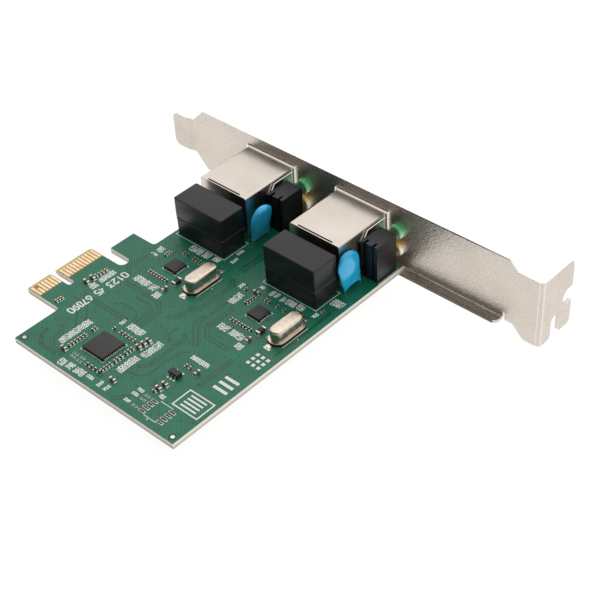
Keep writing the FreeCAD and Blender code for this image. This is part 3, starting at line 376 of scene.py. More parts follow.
def islands(name):
    """Lowest and highest corner of each separate solid in a CAD node. Equal points are one, and the
    smallest number of a solid spreads along the mesh's edges until nothing changes."""
    points = points_of(name)
    same = np.unique(np.round(points, 4) + 0.0, axis=0, return_inverse=True)[1].ravel()
    edges = nodes[name].data.edges
    ends = np.empty(2 * len(edges), np.int32)
    edges.foreach_get("vertices", ends)
    a, b = same[ends.reshape(-1, 2)].T
    number, before = np.arange(same.max() + 1), None
    while before is None or (number != before).any():
        before = number.copy()
        least = np.minimum(number[a], number[b])
        np.minimum.at(number, a, least)
        np.minimum.at(number, b, least)
    solids = [points[number[same] == value] for value in dict.fromkeys(number[same].tolist())]
    return [(solid.min(0), solid.max(0)) for solid in solids]


def grid(points, closed):
    """Four-sided faces over a grid of points: rows along the first index, columns round the second,
    and the last column joined to the first if it is closed."""
    rows, columns = points.shape[:2]
    i, j = np.meshgrid(np.arange(rows - 1) * columns, np.arange(columns if closed else columns - 1),
                       indexing="ij")
    k = (j + 1) % columns
    faces = np.stack([i + j, i + k, i + columns + k, i + columns + j], axis=2)
    return points.reshape(-1, 3), [faces.reshape(-1, 4)]


def inside_out(surface):
    """The same surface with its faces turned round."""
    points, faces = surface
    return points, [block[:, ::-1] for block in faces]


def capped(loops):
    """The surface through a stack of loops, with a flat face over the first and the last one."""
    points, faces = grid(loops, True)
    around = np.arange(loops.shape[1])
    return points, faces + [np.array([around[::-1], around + len(points) - len(around)])]


def rounded_block(low, high, corner, edge, steps=3, low_edge=0.0):
    """A block. Seen from above it is a rectangle whose corners are quarter circles: the corner's
    centre plus its radius times the cosine and sine of the turn. Towards the top it is drawn in by
    edge times one minus the cosine of a second turn, and towards the bottom in the same way by
    low_edge if that is given. Its top and bottom are flat."""
    least = 1e-4
    low, high = np.array(low, float), np.array(high, float)
    centre, half = (low + high) / 2, (high - low) / 2
    rise = np.arange(steps + 1) / steps * QUARTER
    foot = rise if low_edge > 0 else rise[-1:]
    inset = np.concatenate([low_edge * (1 - np.sin(foot)), edge * (1 - np.cos(rise))])[:, None]
    z = np.concatenate([low[2] + low_edge * (1 - np.cos(foot)), high[2] - edge * (1 - np.sin(rise))])
    half_x, half_y = half[0] - inset, half[1] - inset
    radius = np.maximum(np.minimum(corner - inset, np.minimum(half_x, half_y) - least), least)
    quarter = np.repeat(np.arange(4), steps + 1)
    turn = quarter * QUARTER + np.tile(rise, 4)
    x = centre[0] + np.array([1, -1, -1, 1])[quarter] * (half_x - radius) + radius * np.cos(turn)
    y = centre[1] + np.array([1, 1, -1, -1])[quarter] * (half_y - radius) + radius * np.sin(turn)
    return capped(np.stack([x, y, np.broadcast_to(z[:, None], x.shape)], axis=2))


def turned(profile, centre, axis, steps=32):
    """A surface of revolution: each profile point, a radius and a height, goes round the y or z axis
    through the centre, by its radius times the cosine and sine of the turn."""
    radius, height = np.array(profile, float).T[:, :, None]
    turn = np.arange(steps) * 2 * math.pi / steps
    a, b, c = radius * np.cos(turn), radius * np.sin(turn), height + 0 * turn
    around = np.stack([b, c, a] if axis == "y" else [a, b, c], axis=2)
    return inside_out(grid(around + np.array(centre, float), True))


def low_dome(radius, slope, top, x, y, z, steps):
    """A thin round plate at z: two profile points, slope apart, carry it up to the height top."""
    return turned([(radius, z), (radius - slope, z + top), (0.0, z + top)], (x, y, 0.0), "z", steps)


def plate(low, high, corner=0.08):
    """A thin flat pad with rounded corners, rounded over most of its height."""
    return rounded_block(low, high, corner, (high[2] - low[2]) * 0.8, 2)


# solder and pads round the small parts

PAD_TOP = 0.025
CONTACT_PAD_TOP = 0.03


def fillet(x, y, direction, width, height, reach):
    """Solder at the end of a terminal, over a share u of the reach from 0 to 1 and v of the half
    width from -1 to 1: the height times 1 - u to the power 2.2, times 1 - 0.85 times v to the power
    6. It grows wider by a fifth on the way out. A flat copy of the grid closes it from below."""
    count = 7
    dx, dy = direction
    u, v = np.meshgrid(np.linspace(0, 1, count), np.linspace(-1, 1, count), indexing="ij")
    out, side = reach * u, v * width / 2 * (1 + 0.2 * u)
    z = height * (1 - u) ** 2.2 * (1 - 0.85 * np.abs(v) ** 6) + 0.03
    top = np.stack([x + dx * out - dy * side, y + dy * out + dx * side, z], axis=2)
    base = top.copy()
    base[:, :, 2] = 0.01
    points, (over,) = grid(top, False)
    low_points, (under,) = grid(base, False)
    step = np.arange(count)
    last = count - 1
    rim = np.concatenate([step, count * step[1:] + last, count * last + step[last - 1::-1],
                          count * step[last - 1:0:-1]])
    ahead = np.roll(rim, -1)
    wall = np.stack([rim, ahead, ahead + len(points), rim + len(points)], axis=1)
    return np.concatenate([points, low_points]), [over[:, ::-1], under + len(points), wall]


pads, joints = [], []


def soldered(low, high, along, outward, pad, solder_size):
    """Adds a terminal's pad and solder on its outer side: outward is the sign of the axis along. The
    pad is its half width, its lengths back and beyond that side, its height and corner radius, and
    the solder is its width, height and reach."""
    half_width, back, beyond, top, corner = pad
    foot = (low + high)[:2] / 2
    foot[along] = high[along] if outward > 0 else low[along]
    pad_low, pad_high = np.array([*foot, 0.0]), np.array([*foot, top])
    pad_low[along], pad_high[along] = sorted((foot[along] - outward * back, foot[along] + outward * beyond))
    pad_low[1 - along] -= half_width
    pad_high[1 - along] += half_width
    pads.append(plate(pad_low, pad_high, corner))
    direction = (float(outward), 0.0) if along == 0 else (0.0, float(outward))
    joints.append(fillet(*foot, direction, *solder_size))


bodies = {name: islands(name) for name in SMALL_PARTS}
body_middles = np.array([(low + high)[:2] / 2 for group in bodies.values() for low, high in group])
caps = []
for low, high in islands("chip_end_terminals"):
    middle, size = (low + high) / 2, high - low
    distances = np.linalg.norm(body_middles - middle[:2], axis=1)
    away = middle[:2] - body_middles[np.argmin(distances)]
    along = 0 if abs(away[0]) > abs(away[1]) else 1
    width = size[1 - along]
    reach = 0.16 if width < 0.6 else 0.24
    caps.append(rounded_block(low, high, 0.06, 0.07, 2))
    soldered(low, high, along, np.sign(away[along]),
             (width / 2 + 0.03, size[along] + 0.05, reach, PAD_TOP, 0.08), (width, size[2] * 0.75, reach))
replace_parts(piece("chip_terminal_caps", caps, tin), "chip_end_terminals")
for name, group in bodies.items():
    # the bodies stand a little lower than the caps at their ends
    blocks = [rounded_block(low, high - np.array([0.0, 0.0, 0.03]), 0.03, 0.05, 2) for low, high in group]
    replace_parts(piece(name + "_bodies", blocks, finish_of(name)), name)

for name in CHIP_CONTACTS:
    chip_low, chip_high = box_of(name)
    for low, high in islands(name):
        size = high - low
        along = 0 if size[0] > size[1] else 1
        outward = np.sign((low + high - chip_low - chip_high)[along])
        soldered(low, high, along, outward, (size[1 - along] / 2, size[along], 0.32, CONTACT_PAD_TOP, 0.05),
                 (0.22, 0.14, 0.25))
regulator_low, regulator_high = box_of("regulator")
for low, high in islands("regulator_leads"):
    outward = 1 if (low + high - regulator_low - regulator_high)[1] > 0 else -1
    soldered(low, high, 1, outward, (0.27, 0.5, 0.3, PAD_TOP, 0.08), (0.4, 0.12, 0.25))
for name in ("crystal_terminals_1", "crystal_terminals_2"):
    for side in (-1, 1):
        soldered(*box_of(name), 1, side, (1.0, 1.4, 0.45, CONTACT_PAD_TOP, 0.2), (1.3, 0.18, 0.4))


def pillow(x, y, size_x, size_y, height):
    """Solder on a bare pad: the height times 1 - a to the power 4 and 1 - b to the power 4, where a
    and b are the distances from the middle as shares of half the length and half the width."""
    a, b = np.meshgrid(np.linspace(-1, 1, 9), np.linspace(-1, 1, 9))
    z = 0.01 + height * (1 - a ** 4) * (1 - b ** 4)
    return grid(np.stack([x + a * size_x / 2, y + b * size_y / 2, z], axis=2), False)


# bare pads of parts that are not fitted: two rows of four and some small ones
LONG_PAD, SMALL_PAD = ((1.0, 0.34), (1.8, 0.44, 0.28)), ((0.33, 0.3), (0.5, 0.42, 0.2))
bare = [(x, -19.0 + 1.27 * i, LONG_PAD) for x in (53.4, 59.05) for i in range(4)]
bare += [(x, y, SMALL_PAD) for x, y in (
    (27.3, -16.1), (28.3, -16.1), (27.5, -17.1), (28.4, -17.2), (29.7, -16.1), (30.6, -16.1), (29.6, -17.3),
    (30.7, -17.3), (50.4, -15.1), (51.4, -15.1), (50.4, -16.5), (51.4, -16.5), (50.4, -19.0), (51.5, -19.0),
    (10.7, 9.2), (9.8, 9.2))]
pillows = []
for x, y, ((half_x, half_y), solder_size) in bare:
    pillows.append(pillow(x, y, *solder_size))
    pads.append(plate([x - half_x, y - half_y, 0.0], [x + half_x, y + half_y, CONTACT_PAD_TOP]))
# the solder on the bare pads is painted dark, a painted shade and reflection
piece("bare_pads_component_side", pillows, painted_dark_solder)
piece("solder_pads_component_side", pads, solder)
piece("solder_fillets_component_side", joints, solder)

# sighting dots in the two far corners of the board, each in a round window of the mask
sights = ((64.4, -20.2), (14.0, -20.1))
dots = [turned([(0.52, 0.0), (0.5, 0.03), (0.0, 0.035)], (x, y, 0.0), "z", 28) for x, y in sights]
piece("sighting_dots", dots, solder)
rings = [low_dome(1.0, 0.02, 0.012, x, y, 0.0, 32) for x, y in sights]
piece("sighting_dot_surrounds", rings, tented_via)

# solder cones round the pins on the far side of the board
PIN_FOOT, PIN_REACH = BOARD_LOW - 0.9, 0.75
CONE = [(radius, BOARD_LOW - drop) for radius, drop in (
    (0.62, 0.0), (0.6, 0.04), (0.46, 0.12), (0.36, 0.3), (0.3, 0.55), (0.2, 0.7), (0.0, 0.72))]
cones = []
for name in ("transformer_pins_1", "transformer_pins_2", "port_contacts_1", "port_contacts_2",
             "lamp_leads_1", "lamp_leads_2", "disc_capacitor_leads_1", "disc_capacitor_leads_2"):
    feet = points_of(name)
    feet = feet[feet[:, 2] < PIN_FOOT, :2]
    while len(feet):
        near = np.linalg.norm(feet - feet[0], axis=1) < PIN_REACH
        x, y = (feet[near].min(0) + feet[near].max(0)) / 2
        cones.append(inside_out(turned(CONE, (x, y, 0.0), "z", 16)))
        feet = feet[~near]
piece("solder_cones_far_side", cones, solder)


# finer shapes that stand for plain CAD nodes

PARTING_LOW, PARTING_HIGH, PARTING_PROUD = 5.0, 5.12, 0.02
for number in ("1", "2"):
    low, high = box_of("transformer_cover_" + number)
    cover = rounded_block(low, high, 0.45, 0.22, 5, 0.1)
    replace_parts(piece("transformer_cover_shell_" + number, [cover], black_epoxy),
                "transformer_cover_" + number)
    dent = turned([(0.45, high[2] - 0.02), (0.43, high[2] + 0.008), (0.0, high[2] + 0.008)],
                  (low[0] + 1.3, low[1] + 1.3, 0.0), "z", 24)
    piece("transformer_first_pin_dent_" + number, [dent], black_moulding)
    line = rounded_block([*(low[:2] - PARTING_PROUD), PARTING_LOW], [*(high[:2] + PARTING_PROUD), PARTING_HIGH],
                         0.47, 0.02, 5)
    piece("transformer_parting_line_" + number, [line], parting_line)


def rod(start, end, radius, steps=10):
    """A round rod between two points of equal x: at each end a circle, the radius times the cosine
    of the turn across the rod and times its sine along x."""
    start, end = np.array(start, float), np.array(end, float)
    sideways = np.array([1.0, 0.0, 0.0])
    across = np.cross((end - start) / np.linalg.norm(end - start), sideways)
    turn = np.arange(steps)[:, None] * 2 * math.pi / steps
    circle = radius * (np.cos(turn) * across + np.sin(turn) * sideways)
    return capped(np.stack([start + circle, end + circle]))


# the shields' raised rims behind the bracket, and the turned edges of their side cuts, both near white and
# glowing a little as a painted highlight
RIM_Y, RIM_WIDTH, RIM_FOOT, SHIELD_TOP, RIM_TOP = (57.22, 57.69), 0.28, 0.4, 12.4, 12.72
CUT_START_Y, CUT_BEND_Y, CUT_END_Y, CUT_HIGH_Z, CUT_LOW_Z = 56.6, 50.0, 48.1, 11.62, 8.9
for number in ("1", "2"):
    low, high = box_of("port_shield_" + number)
    outer_low, outer_high = low[0] - RIM_WIDTH, high[0] + RIM_WIDTH
    rim = [rounded_block([x0, RIM_Y[0], z0], [x1, RIM_Y[1], z1], 0.05, 0.05, 2) for x0, x1, z0, z1 in (
        (outer_low, outer_high, SHIELD_TOP, RIM_TOP), (outer_low, low[0], RIM_FOOT, SHIELD_TOP),
        (high[0], outer_high, RIM_FOOT, SHIELD_TOP))]
    piece("port_shield_rim_" + number, rim, painted_highlight_edge)
    edges = []
    for x in (low[0], high[0]):
        bend = (x, CUT_BEND_Y, CUT_HIGH_Z)
        edges += [rod((x, CUT_START_Y, CUT_HIGH_Z), bend, 0.09), rod(bend, (x, CUT_END_Y, CUT_LOW_Z), 0.11)]
    piece("port_shield_cut_edges_" + number, edges, painted_highlight_edge)

# crystal cans: a drawn oblong cup on its flange
FLANGE_HEIGHT, CAN_FOOT, CAN_HALF_X, CAN_HALF_Y = 0.35, 0.3, 1.85, 4.8
for number in ("1", "2"):
    low, high = box_of("crystal_can_" + number)
    x, y = (low + high)[:2] / 2
    flange = rounded_block(low, [*high[:2], low[2] + FLANGE_HEIGHT], 2.34, 0.14, 8, 0.08)
    can = rounded_block([x - CAN_HALF_X, y - CAN_HALF_Y, low[2] + CAN_FOOT],
                        [x + CAN_HALF_X, y + CAN_HALF_Y, high[2]], CAN_HALF_X, 0.5, 8)
    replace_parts(piece("crystal_can_shell_" + number, [flange, can], crystal_metal),
                "crystal_can_" + number)

# chip cases with softened edges, and the round mark of the first pin
for name, radius in (("bridge_chip", 0.28), ("controller_chip_1", 0.16), ("controller_chip_2", 0.16),
                     ("regulator", 0.16)):
    low, high = box_of(name)
    body = rounded_block(low + np.array([0.01, 0.01, 0.02]), high - np.array([0.01, 0.01, 0.0]), 0.06, 0.06, 3)
    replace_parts(piece(name + "_case", [body], chip_compound), name)
    x = low[0] + 0.12 * (high[0] - low[0]) + radius
    y = high[1] - 0.12 * (high[1] - low[1]) - radius
    mark = turned([(radius, high[2] - 0.01), (radius * 0.95, high[2] + 0.006), (0.0, high[2] + 0.006)],
                  (x, y, 0.0), "z", 20)
    piece(name + "_first_pin_mark", [mark], black_moulding)


def ovals(middle_y, half_y, half_x, z, steps=40):
    """A stack of level ellipses, closed at both ends: x is half_x times the sine of the turn, and y
    is middle_y plus half_y times its cosine."""
    turn = np.arange(steps) * 2 * math.pi / steps
    x = half_x[:, None] * np.sin(turn)
    y = middle_y[:, None] + half_y[:, None] * np.cos(turn)
    return inside_out(capped(np.stack([x, y, np.broadcast_to(z[:, None], x.shape)], axis=2)))


def dipped_disc(centre_y, centre_z, lead_y, foot_z):
    """A dipped disc on two legs, standing at x = 0. Above the arch each level is one ellipse. Its
    ends lie on the circle of the disc, or lower down on the straight lines from the disc to the
    outer side of the feet. Its half thickness follows a quarter circle below the top of the disc,
    and further down it eases from the disc's to the web's by 3 s squared minus 2 s cubed. Below the
    arch each foot has its own ellipses, between that line and the circle of the arch."""
    radius, edge, thick, web = 3.75, 0.95, 1.0, 0.62
    reach, arch_half, arch_height = 3.05, 2.45, 0.75
    arch_radius = (arch_half ** 2 + arch_height ** 2) / (2 * arch_height)
    arch_top, top = foot_z + arch_height, centre_z + radius

    def ends(z):
        down = np.clip((centre_z - z) / (centre_z - foot_z), 0, 1)
        round_half = np.sqrt(np.maximum(radius ** 2 - (z - centre_z) ** 2, 0.0))
        low = np.where(z > centre_z, centre_y - round_half,
                       (centre_y - radius) * (1 - down) + (lead_y - reach) * down)
        high = np.where(z > centre_z, centre_y + round_half,
                        (centre_y + radius) * (1 - down) + (lead_y + reach) * down)
        return low, high

    # levels from just below the arch to just below the top, where they lie closer together
    share = np.linspace(0.02, 1, 34)
    share = np.where(share > 0.5, 1 - (1 - share) ** 1.6, share * 1.3402)
    z = np.minimum(arch_top - 0.1 + (top - arch_top + 0.1) * share, top - 0.004)
    low, high = ends(z)
    ease = np.clip((z - arch_top) / (centre_z - arch_top), 0, 1)
    half = web + (thick - web) * (ease * ease * (3 - 2 * ease))
    depth = np.minimum((top - z) / edge, 1.0)
    parts = [ovals((low + high) / 2, (high - low) / 2, half * np.sqrt(1 - (1 - depth) ** 2), z)]
    z = np.linspace(foot_z, arch_top + 0.3, 9)
    rise = np.minimum(z - (arch_top - arch_radius), arch_radius)
    arch = np.sqrt(np.maximum(arch_radius ** 2 - rise ** 2, 0.0))
    half = web * (0.6 + 0.4 * np.minimum((z - foot_z) / arch_height, 1.0))
    for side, outer in zip((-1, 1), ends(z)):
        inner = lead_y + side * arch
        parts.append(ovals((outer + inner) / 2, np.abs(outer - inner) / 2, half, z, 24))
    return parts


for number, centre_z, lean in (("1", 7.6, 12.0), ("2", 6.9, -4.0)):
    low, high = box_of("disc_capacitor_leads_" + number)
    foot = np.array([*(low + high)[:2] / 2, high[2]])
    tilt = np.array(Matrix.Rotation(math.radians(lean), 3, "Y"))
    parts = [((points - np.array([0.0, foot[1], foot[2]])) @ tilt.T + foot, faces)
             for points, faces in dipped_disc(foot[1] - 0.6, centre_z, foot[1], foot[2])]
    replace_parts(piece("dipped_disc_" + number, parts, blue_coating), "disc_capacitor_" + number)

# lamps: a flange, a wide barrel that fills the bracket's hole, and a low elliptic dome at the tip
LENS_RADIUS, FLANGE_RADIUS, DOME_RADIUS = 1.85, 1.9, 1.5
FLANGE_LENGTH, DOME_HEIGHT = 1.0, 0.2
dome = np.linspace(0.0, QUARTER, 7)
for colour, finish in (("green", green_resin), ("amber", amber_resin)):
    for number in ("1", "2"):
        low, high = box_of(colour + "_lamp_" + number)
        base, shoulder = low[1], high[1] - DOME_HEIGHT
        profile = [(0.0, base), (LENS_RADIUS, base), (FLANGE_RADIUS, base + 0.08),
                   (FLANGE_RADIUS, base + FLANGE_LENGTH - 0.08), (LENS_RADIUS, base + FLANGE_LENGTH),
                   (LENS_RADIUS, shoulder - 0.1), (1.7, shoulder)]
        profile += np.column_stack([DOME_RADIUS * np.cos(dome), shoulder + DOME_HEIGHT * np.sin(dome)]).tolist()
        lamp = turned(profile, ((low[0] + high[0]) / 2, 0.0, (low[2] + high[2]) / 2), "y", 36)
        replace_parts(piece(colour + "_lamp_lens_" + number, [lamp], finish),
                    colour + "_lamp_" + number)


# printed marks

SILK_TOP = 0.028
DIGIT_HEIGHT = 1.6      # in the units of the strokes below, whose digits are 1 wide
DIGITS = {
    "0": [(.2, 0), (.8, 0), (1, .3), (1, 1.3), (.8, 1.6), (.2, 1.6), (0, 1.3), (0, .3), (.2, 0)],
    "1": [(.2, 1.25), (.55, 1.6), (.55, 0)],
    "2": [(0, 1.3), (.2, 1.6), (.8, 1.6), (1, 1.3), (1, 1), (0, 0), (1, 0)],
    "3": [(0, 1.6), (1, 1.6), (.5, .95), (1, .6), (1, .25), (.75, 0), (.2, 0), (0, .25)],
    "4": [(.75, 0), (.75, 1.6), (0, .5), (1, .5)],
    "5": [(1, 1.6), (0, 1.6), (0, .9), (.75, .95), (1, .65), (1, .25), (.75, 0), (0, 0)],
    "6": [(.9, 1.6), (.25, 1.3), (0, .7), (0, .3), (.2, 0), (.8, 0), (1, .3), (1, .6), (.8, .9), (.05, .8)],
    "7": [(0, 1.6), (1, 1.6), (.35, 0)],
    "8": [(.5, .85), (.1, 1.1), (.1, 1.4), (.3, 1.6), (.7, 1.6), (.9, 1.4), (.9, 1.1), (.5, .85), (0, .55),
          (0, .25), (.2, 0), (.8, 0), (1, .25), (1, .55), (.5, .85)],
    "9": [(.1, 0), (.75, .3), (1, .9), (1, 1.3), (.8, 1.6), (.2, 1.6), (0, 1.3), (0, 1), (.2, .7), (.95, .8)],
}
GLYPH_SHARE, ROW_SHARE = 0.72, 0.78      # of a digit's advance, and of the pitch of the numbers
SMALL_LINE, NUMBER_LENGTH = 0.23, 3


def stroke(path, width, top=SILK_TOP, closed=False):
    """A flat line along a path, from the board up to its top. At each bend its sides are moved out
    by half the width along the mean of the two normals, divided by that mean's share of one normal.
    A closed line has a bend at every point and no ends."""
    path = np.array(path, float)
    ahead = np.roll(path, -1, axis=0) if closed else path[1:]
    steps = ahead - path[:len(ahead)]
    steps /= np.linalg.norm(steps, axis=1)[:, None]
    normals = np.column_stack([-steps[:, 1], steps[:, 0]])
    before = np.roll(normals, 1, axis=0) if closed else np.vstack([normals[:1], normals])
    after = normals if closed else np.vstack([normals, normals[-1:]])
    middle = before + after
    middle /= np.maximum(np.linalg.norm(middle, axis=1), 1e-6)[:, None]
    offsets = middle / np.maximum(np.sum(middle * after, axis=1), 0.45)[:, None] * width / 2
    count = len(path)
    heights = np.repeat([0.0, 0.0, top, top], count)
    points = np.column_stack([np.vstack([path + offsets, path - offsets] * 2), heights])
    i = np.arange(count if closed else count - 1)
    k = (i + 1) % count
    left, right, high_left, high_right = (np.stack([i, k], axis=1) + n * count for n in range(4))
    faces = np.stack([
        np.column_stack([high_left[:, 0], high_right[:, 0], high_right[:, 1], high_left[:, 1]]),
        np.column_stack([left, right[:, ::-1]]),
        np.column_stack([left[:, 0], high_left, left[:, 1]]),
        np.column_stack([right, high_right[:, ::-1]])], axis=1).reshape(-1, 4)
    if not closed:
        ends = np.array([[0, 1, 3, 2], [1, 3, 2, 0]]) * count + [[0], [count - 1]]
        faces = np.vstack([faces, ends])
    return points, [faces]


def digits(text, x, y, degrees, height, width, advance):
    """Plain digits drawn as strokes, starting at a point and running at an angle."""
    c, s = math.cos(math.radians(degrees)), math.sin(math.radians(degrees))
    made = []
    for i, character in enumerate(text):
        u, v = np.array(DIGITS[character], float).T
        u, v = (i + u * GLYPH_SHARE) * advance, v * height / DIGIT_HEIGHT
        made.append(stroke(np.column_stack([x + c * u - s * v, y + s * u + c * v]), width))
    return made


def rectangle(x0, x1, y0, y1):
    return [(x0, y0), (x1, y0), (x1, y1), (x0, y1)]


serials = itertools.count(1)


def stack(x0, x1, y0, y1, count, along):
    """Short plain numbers in a field, one beside the other, each running along the given axis. Their
    digits come from a running serial number."""
    run, side = (x1 - x0, y1 - y0) if along == "x" else (y1 - y0, x1 - x0)
    pitch, advance = side / count, run / NUMBER_LENGTH
    height = pitch * ROW_SHARE
    made = []
    for i, serial in zip(range(count), serials):
        text = "".join(str((serial * 37 + k * 13 + serial * serial // 3) % 10) for k in range(NUMBER_LENGTH))
        x, y, degrees = (x0, y0 + i * pitch, 0) if along == "x" else (x0 + i * pitch + height, y0, 90)
        made += digits(text, x, y, degrees, height, SMALL_LINE, advance)
    return made


silk = []
# bold plain numbers along the edge connector, reading away from the hook notch
for text, y0, y1 in (("0123", 11.0, 4.6), ("45", 3.3, 0.8), ("67890", -0.5, -7.8)):
    silk += digits(text, 14.25, y0, -90, 1.95, 0.4, (y0 - y1) / len(text))
# numbers of the small parts, running along x: each field's limits in x and in y, and how many
for field in ((20.8, 22.9, -15.7, -6.2, 10), (38.8, 41.0, -13.8, -7.8, 6), (39.6, 41.8, -6.9, -0.9, 6),
              (11.4, 13.2, 4.9, 9.9, 5), (11.3, 13.5, 1.8, 3.9, 2), (35.5, 37.6, -19.6, -18.6, 1),
              (13.8, 15.9, 22.1, 24.1, 2), (13.8, 15.9, 20.4, 21.3, 1), (41.8, 43.9, 19.5, 23.6, 4),
              (47.5, 49.4, -15.1, -14.2, 1), (47.5, 49.4, -16.7, -15.8, 1), (47.5, 49.4, -19.2, -18.3, 1),
              (52.8, 54.5, -13.6, -12.4, 1)):
    silk += stack(*field, "x")
# numbers of the small parts, running along y
for field in ((30.2, 35.2, -2.6, -0.5, 5), (27.7, 28.7, -2.6, -0.5, 1), (26.6, 28.6, -21.0, -18.8, 2),
              (29.2, 31.2, -20.6, -18.6, 2), (31.8, 34.8, -20.5, -18.5, 3), (39.4, 40.4, -20.2, -18.1, 1),
              (41.6, 42.6, -20.2, -18.1, 1), (18.0, 23.0, 10.6, 12.8, 5), (23.5, 25.6, 10.6, 12.8, 2),
              (26.1, 28.2, 9.1, 11.3, 2), (20.0, 24.1, 27.5, 29.7, 4), (24.6, 26.8, 27.5, 29.7, 2),
              (27.7, 29.8, 28.2, 29.7, 2), (32.0, 33.0, 30.3, 32.8, 1), (30.9, 31.8, 33.7, 36.0, 1),
              (46.5, 49.5, 11.1, 13.2, 3), (50.3, 54.4, 11.1, 13.2, 4), (54.4, 56.4, 8.7, 10.6, 2),
              (49.4, 54.9, -0.4, 1.0, 5), (47.9, 49.0, 27.4, 29.4, 1), (49.4, 50.4, 27.4, 29.4, 1),
              (51.4, 52.5, 27.4, 29.4, 1), (52.9, 55.8, 27.4, 29.4, 3), (56.2, 58.3, 27.8, 29.7, 2),
              (61.3, 62.4, 27.8, 29.7, 1), (61.5, 64.8, 34.0, 36.6, 3), (40.1, 41.1, 24.8, 26.8, 1),
              (44.4, 45.8, 27.8, 28.8, 1)):
    silk += stack(*field, "y")
# generic marks: a frame with four bars, three bars, and nine squares
silk.append(stroke(rectangle(57.0, 64.6, -13.2, -7.6), 0.36, closed=True))
silk += [stroke([(58.4, y), (63.2, y)], 0.5) for y in -12.1 + 1.13 * np.arange(4)]
silk += [stroke([(60.0, y), (64.2, y)], 0.85) for y in -3.4 + 1.9 * np.arange(3)]
silk += [stroke([(x - 0.45, y), (x + 0.45, y)], 0.9)
         for x in 60.6 + 1.6 * np.arange(3) for y in 7.1 + 1.6 * np.arange(3)]
# outlines of the transformers and lamp holders, and lines beside the crystals
for number in ("1", "2"):
    low, high = box_of("transformer_cover_" + number)
    outline = rectangle(low[0] - 0.35, high[0] + 0.35, low[1] - 0.3, high[1] + 0.35)
    silk.append(stroke(outline, 0.16, closed=True))
    low, high = box_of("lamp_holder_" + number)
    silk.append(stroke([(high[0] + 0.4, low[1] - 0.2), (high[0] + 0.4, high[1] + 0.3),
                        (low[0] - 0.3, high[1] + 0.3)], 0.15))
    low, high = box_of("crystal_base_" + number)
    middle = (low[1] + high[1]) / 2
    silk += [stroke([(x, low[1] + 1.2), (x, high[1] - 1.2)], 0.16) for x in (low[0] - 0.22, high[0] + 0.22)]
    silk.append(stroke([(high[0] + 0.9, middle), (high[0] + 1.15, middle)], 0.3))
# corner marks round the chips
for name in CHIP_CONTACTS:
    low, high = box_of(name)
    middle, half = (low + high)[:2] / 2, (high[0] - low[0]) / 2 + 0.35
    for corner in ((1, 1), (1, -1), (-1, 1), (-1, -1)):
        arms = np.array([(half - 0.7, half), (half, half), (half, half - 0.7)])
        silk.append(stroke(middle + arms * corner, 0.14))
# lines round the part that is not fitted, and its first pin
silk += [stroke([(54.5, y), (58.5, y)], 0.18) for y in (-14.3, -19.6)]
silk.append(stroke([(56.0, -20.1), (56.4, -20.1)], 0.3))
piece("printed_marks_component_side", silk, silk_ink, smooth=False)


# tracks and vias

TRACK_BASE, TRACK_STEP, TRACK_LEVELS = 0.01, 0.0002, 20
VIA_RADIUS, VIA_TOP = 0.24, 0.024
tracks, via_places = [], []


def offset_path(path, distance):
    """The path moved sideways, with each bend moved along the mean of its two normals."""
    path = np.array(path, float)
    steps = np.diff(path, axis=0)
    steps /= np.linalg.norm(steps, axis=1)[:, None]
    normals = np.column_stack([-steps[:, 1], steps[:, 0]])
    middle = normals[:-1] + normals[1:]
    middle /= np.linalg.norm(middle, axis=1)[:, None]
    bends = middle * distance / np.maximum(np.sum(middle * normals[1:], axis=1), 0.5)[:, None]
    return path + np.vstack([normals[:1] * distance, bends, normals[-1:] * distance])


def bundle(path, count, pitch=0.9, width=0.5):
    """Parallel tracks about a path, each with a via at its ends. Each track is a hair higher than
    the one before, so that tracks that cross have no face in common."""
    for i in range(count):
        line = offset_path(path, (i - (count - 1) / 2) * pitch)
        tracks.append(stroke(line, width, TRACK_BASE + TRACK_STEP * (len(tracks) % TRACK_LEVELS)))
        via_places.extend([line[0], line[-1]])


# round the edge connector and the bridge chip
bundle([(17.5, 8.75), (29.3, 8.75), (32.1, 5.95), (32.1, -0.2)], 2)
bundle([(24.0, 6.5), (28.5, 6.6), (30.4, 4.7), (30.4, 0.2)], 1)
bundle([(21.5, 1.6), (22.8, 2.9), (27.9, 2.9), (29.4, 1.4), (29.4, 0.2)], 1)
bundle([(12.6, -0.8), (28.0, -0.8)], 2)
bundle([(11.0, -3.0), (16.6, -3.0), (20.2, -6.6)], 1)
bundle([(14.0, -5.9), (17.0, -6.4), (20.2, -9.6)], 1)
bundle([(16.0, -14.6), (16.0, -16.5), (18.6, -19.1), (24.0, -19.3)], 1, width=1.1)
bundle([(17.5, -11.6), (19.6, -13.7), (19.6, -16.2), (21.4, -18.0), (25.4, -18.0)], 2, 0.8, 0.35)
bundle([(37.6, -17.8), (37.6, -16.6), (36.4, -15.4)], 2, 0.8, 0.35)
# middle of the board
bundle([(41.8, 12.2), (41.8, 8.9), (47.3, 3.4)], 2, 1.0)
bundle([(39.5, 5.0), (39.5, 2.5), (41.5, 0.5)], 1)
bundle([(42.5, 4.5), (43.8, 3.2), (43.8, -8.0), (42.2, -9.8)], 2, 0.8, 0.45)
bundle([(47.5, 0.8), (45.9, -0.8), (45.9, -10.5), (44.5, -11.9), (41.2, -12.5)], 1)
bundle([(45.2, -20.6), (48.0, -17.8)], 2)
bundle([(42.2, 19.0), (42.2, 13.6)], 1)
bundle([(44.9, 18.6), (44.9, 9.6), (47.3, 7.2), (54.0, 7.2)], 2)
bundle([(36.9, 12.2), (36.9, 8.0), (35.2, 6.3)], 2)
bundle([(13.6, 18.6), (13.6, 13.2), (16.2, 10.6)], 2, 0.8, 0.4)
bundle([(57.4, 5.2), (57.4, -5.4)], 2)
bundle([(48.6, -10.4), (50.6, -12.4), (50.6, -13.6)], 1, width=0.9)
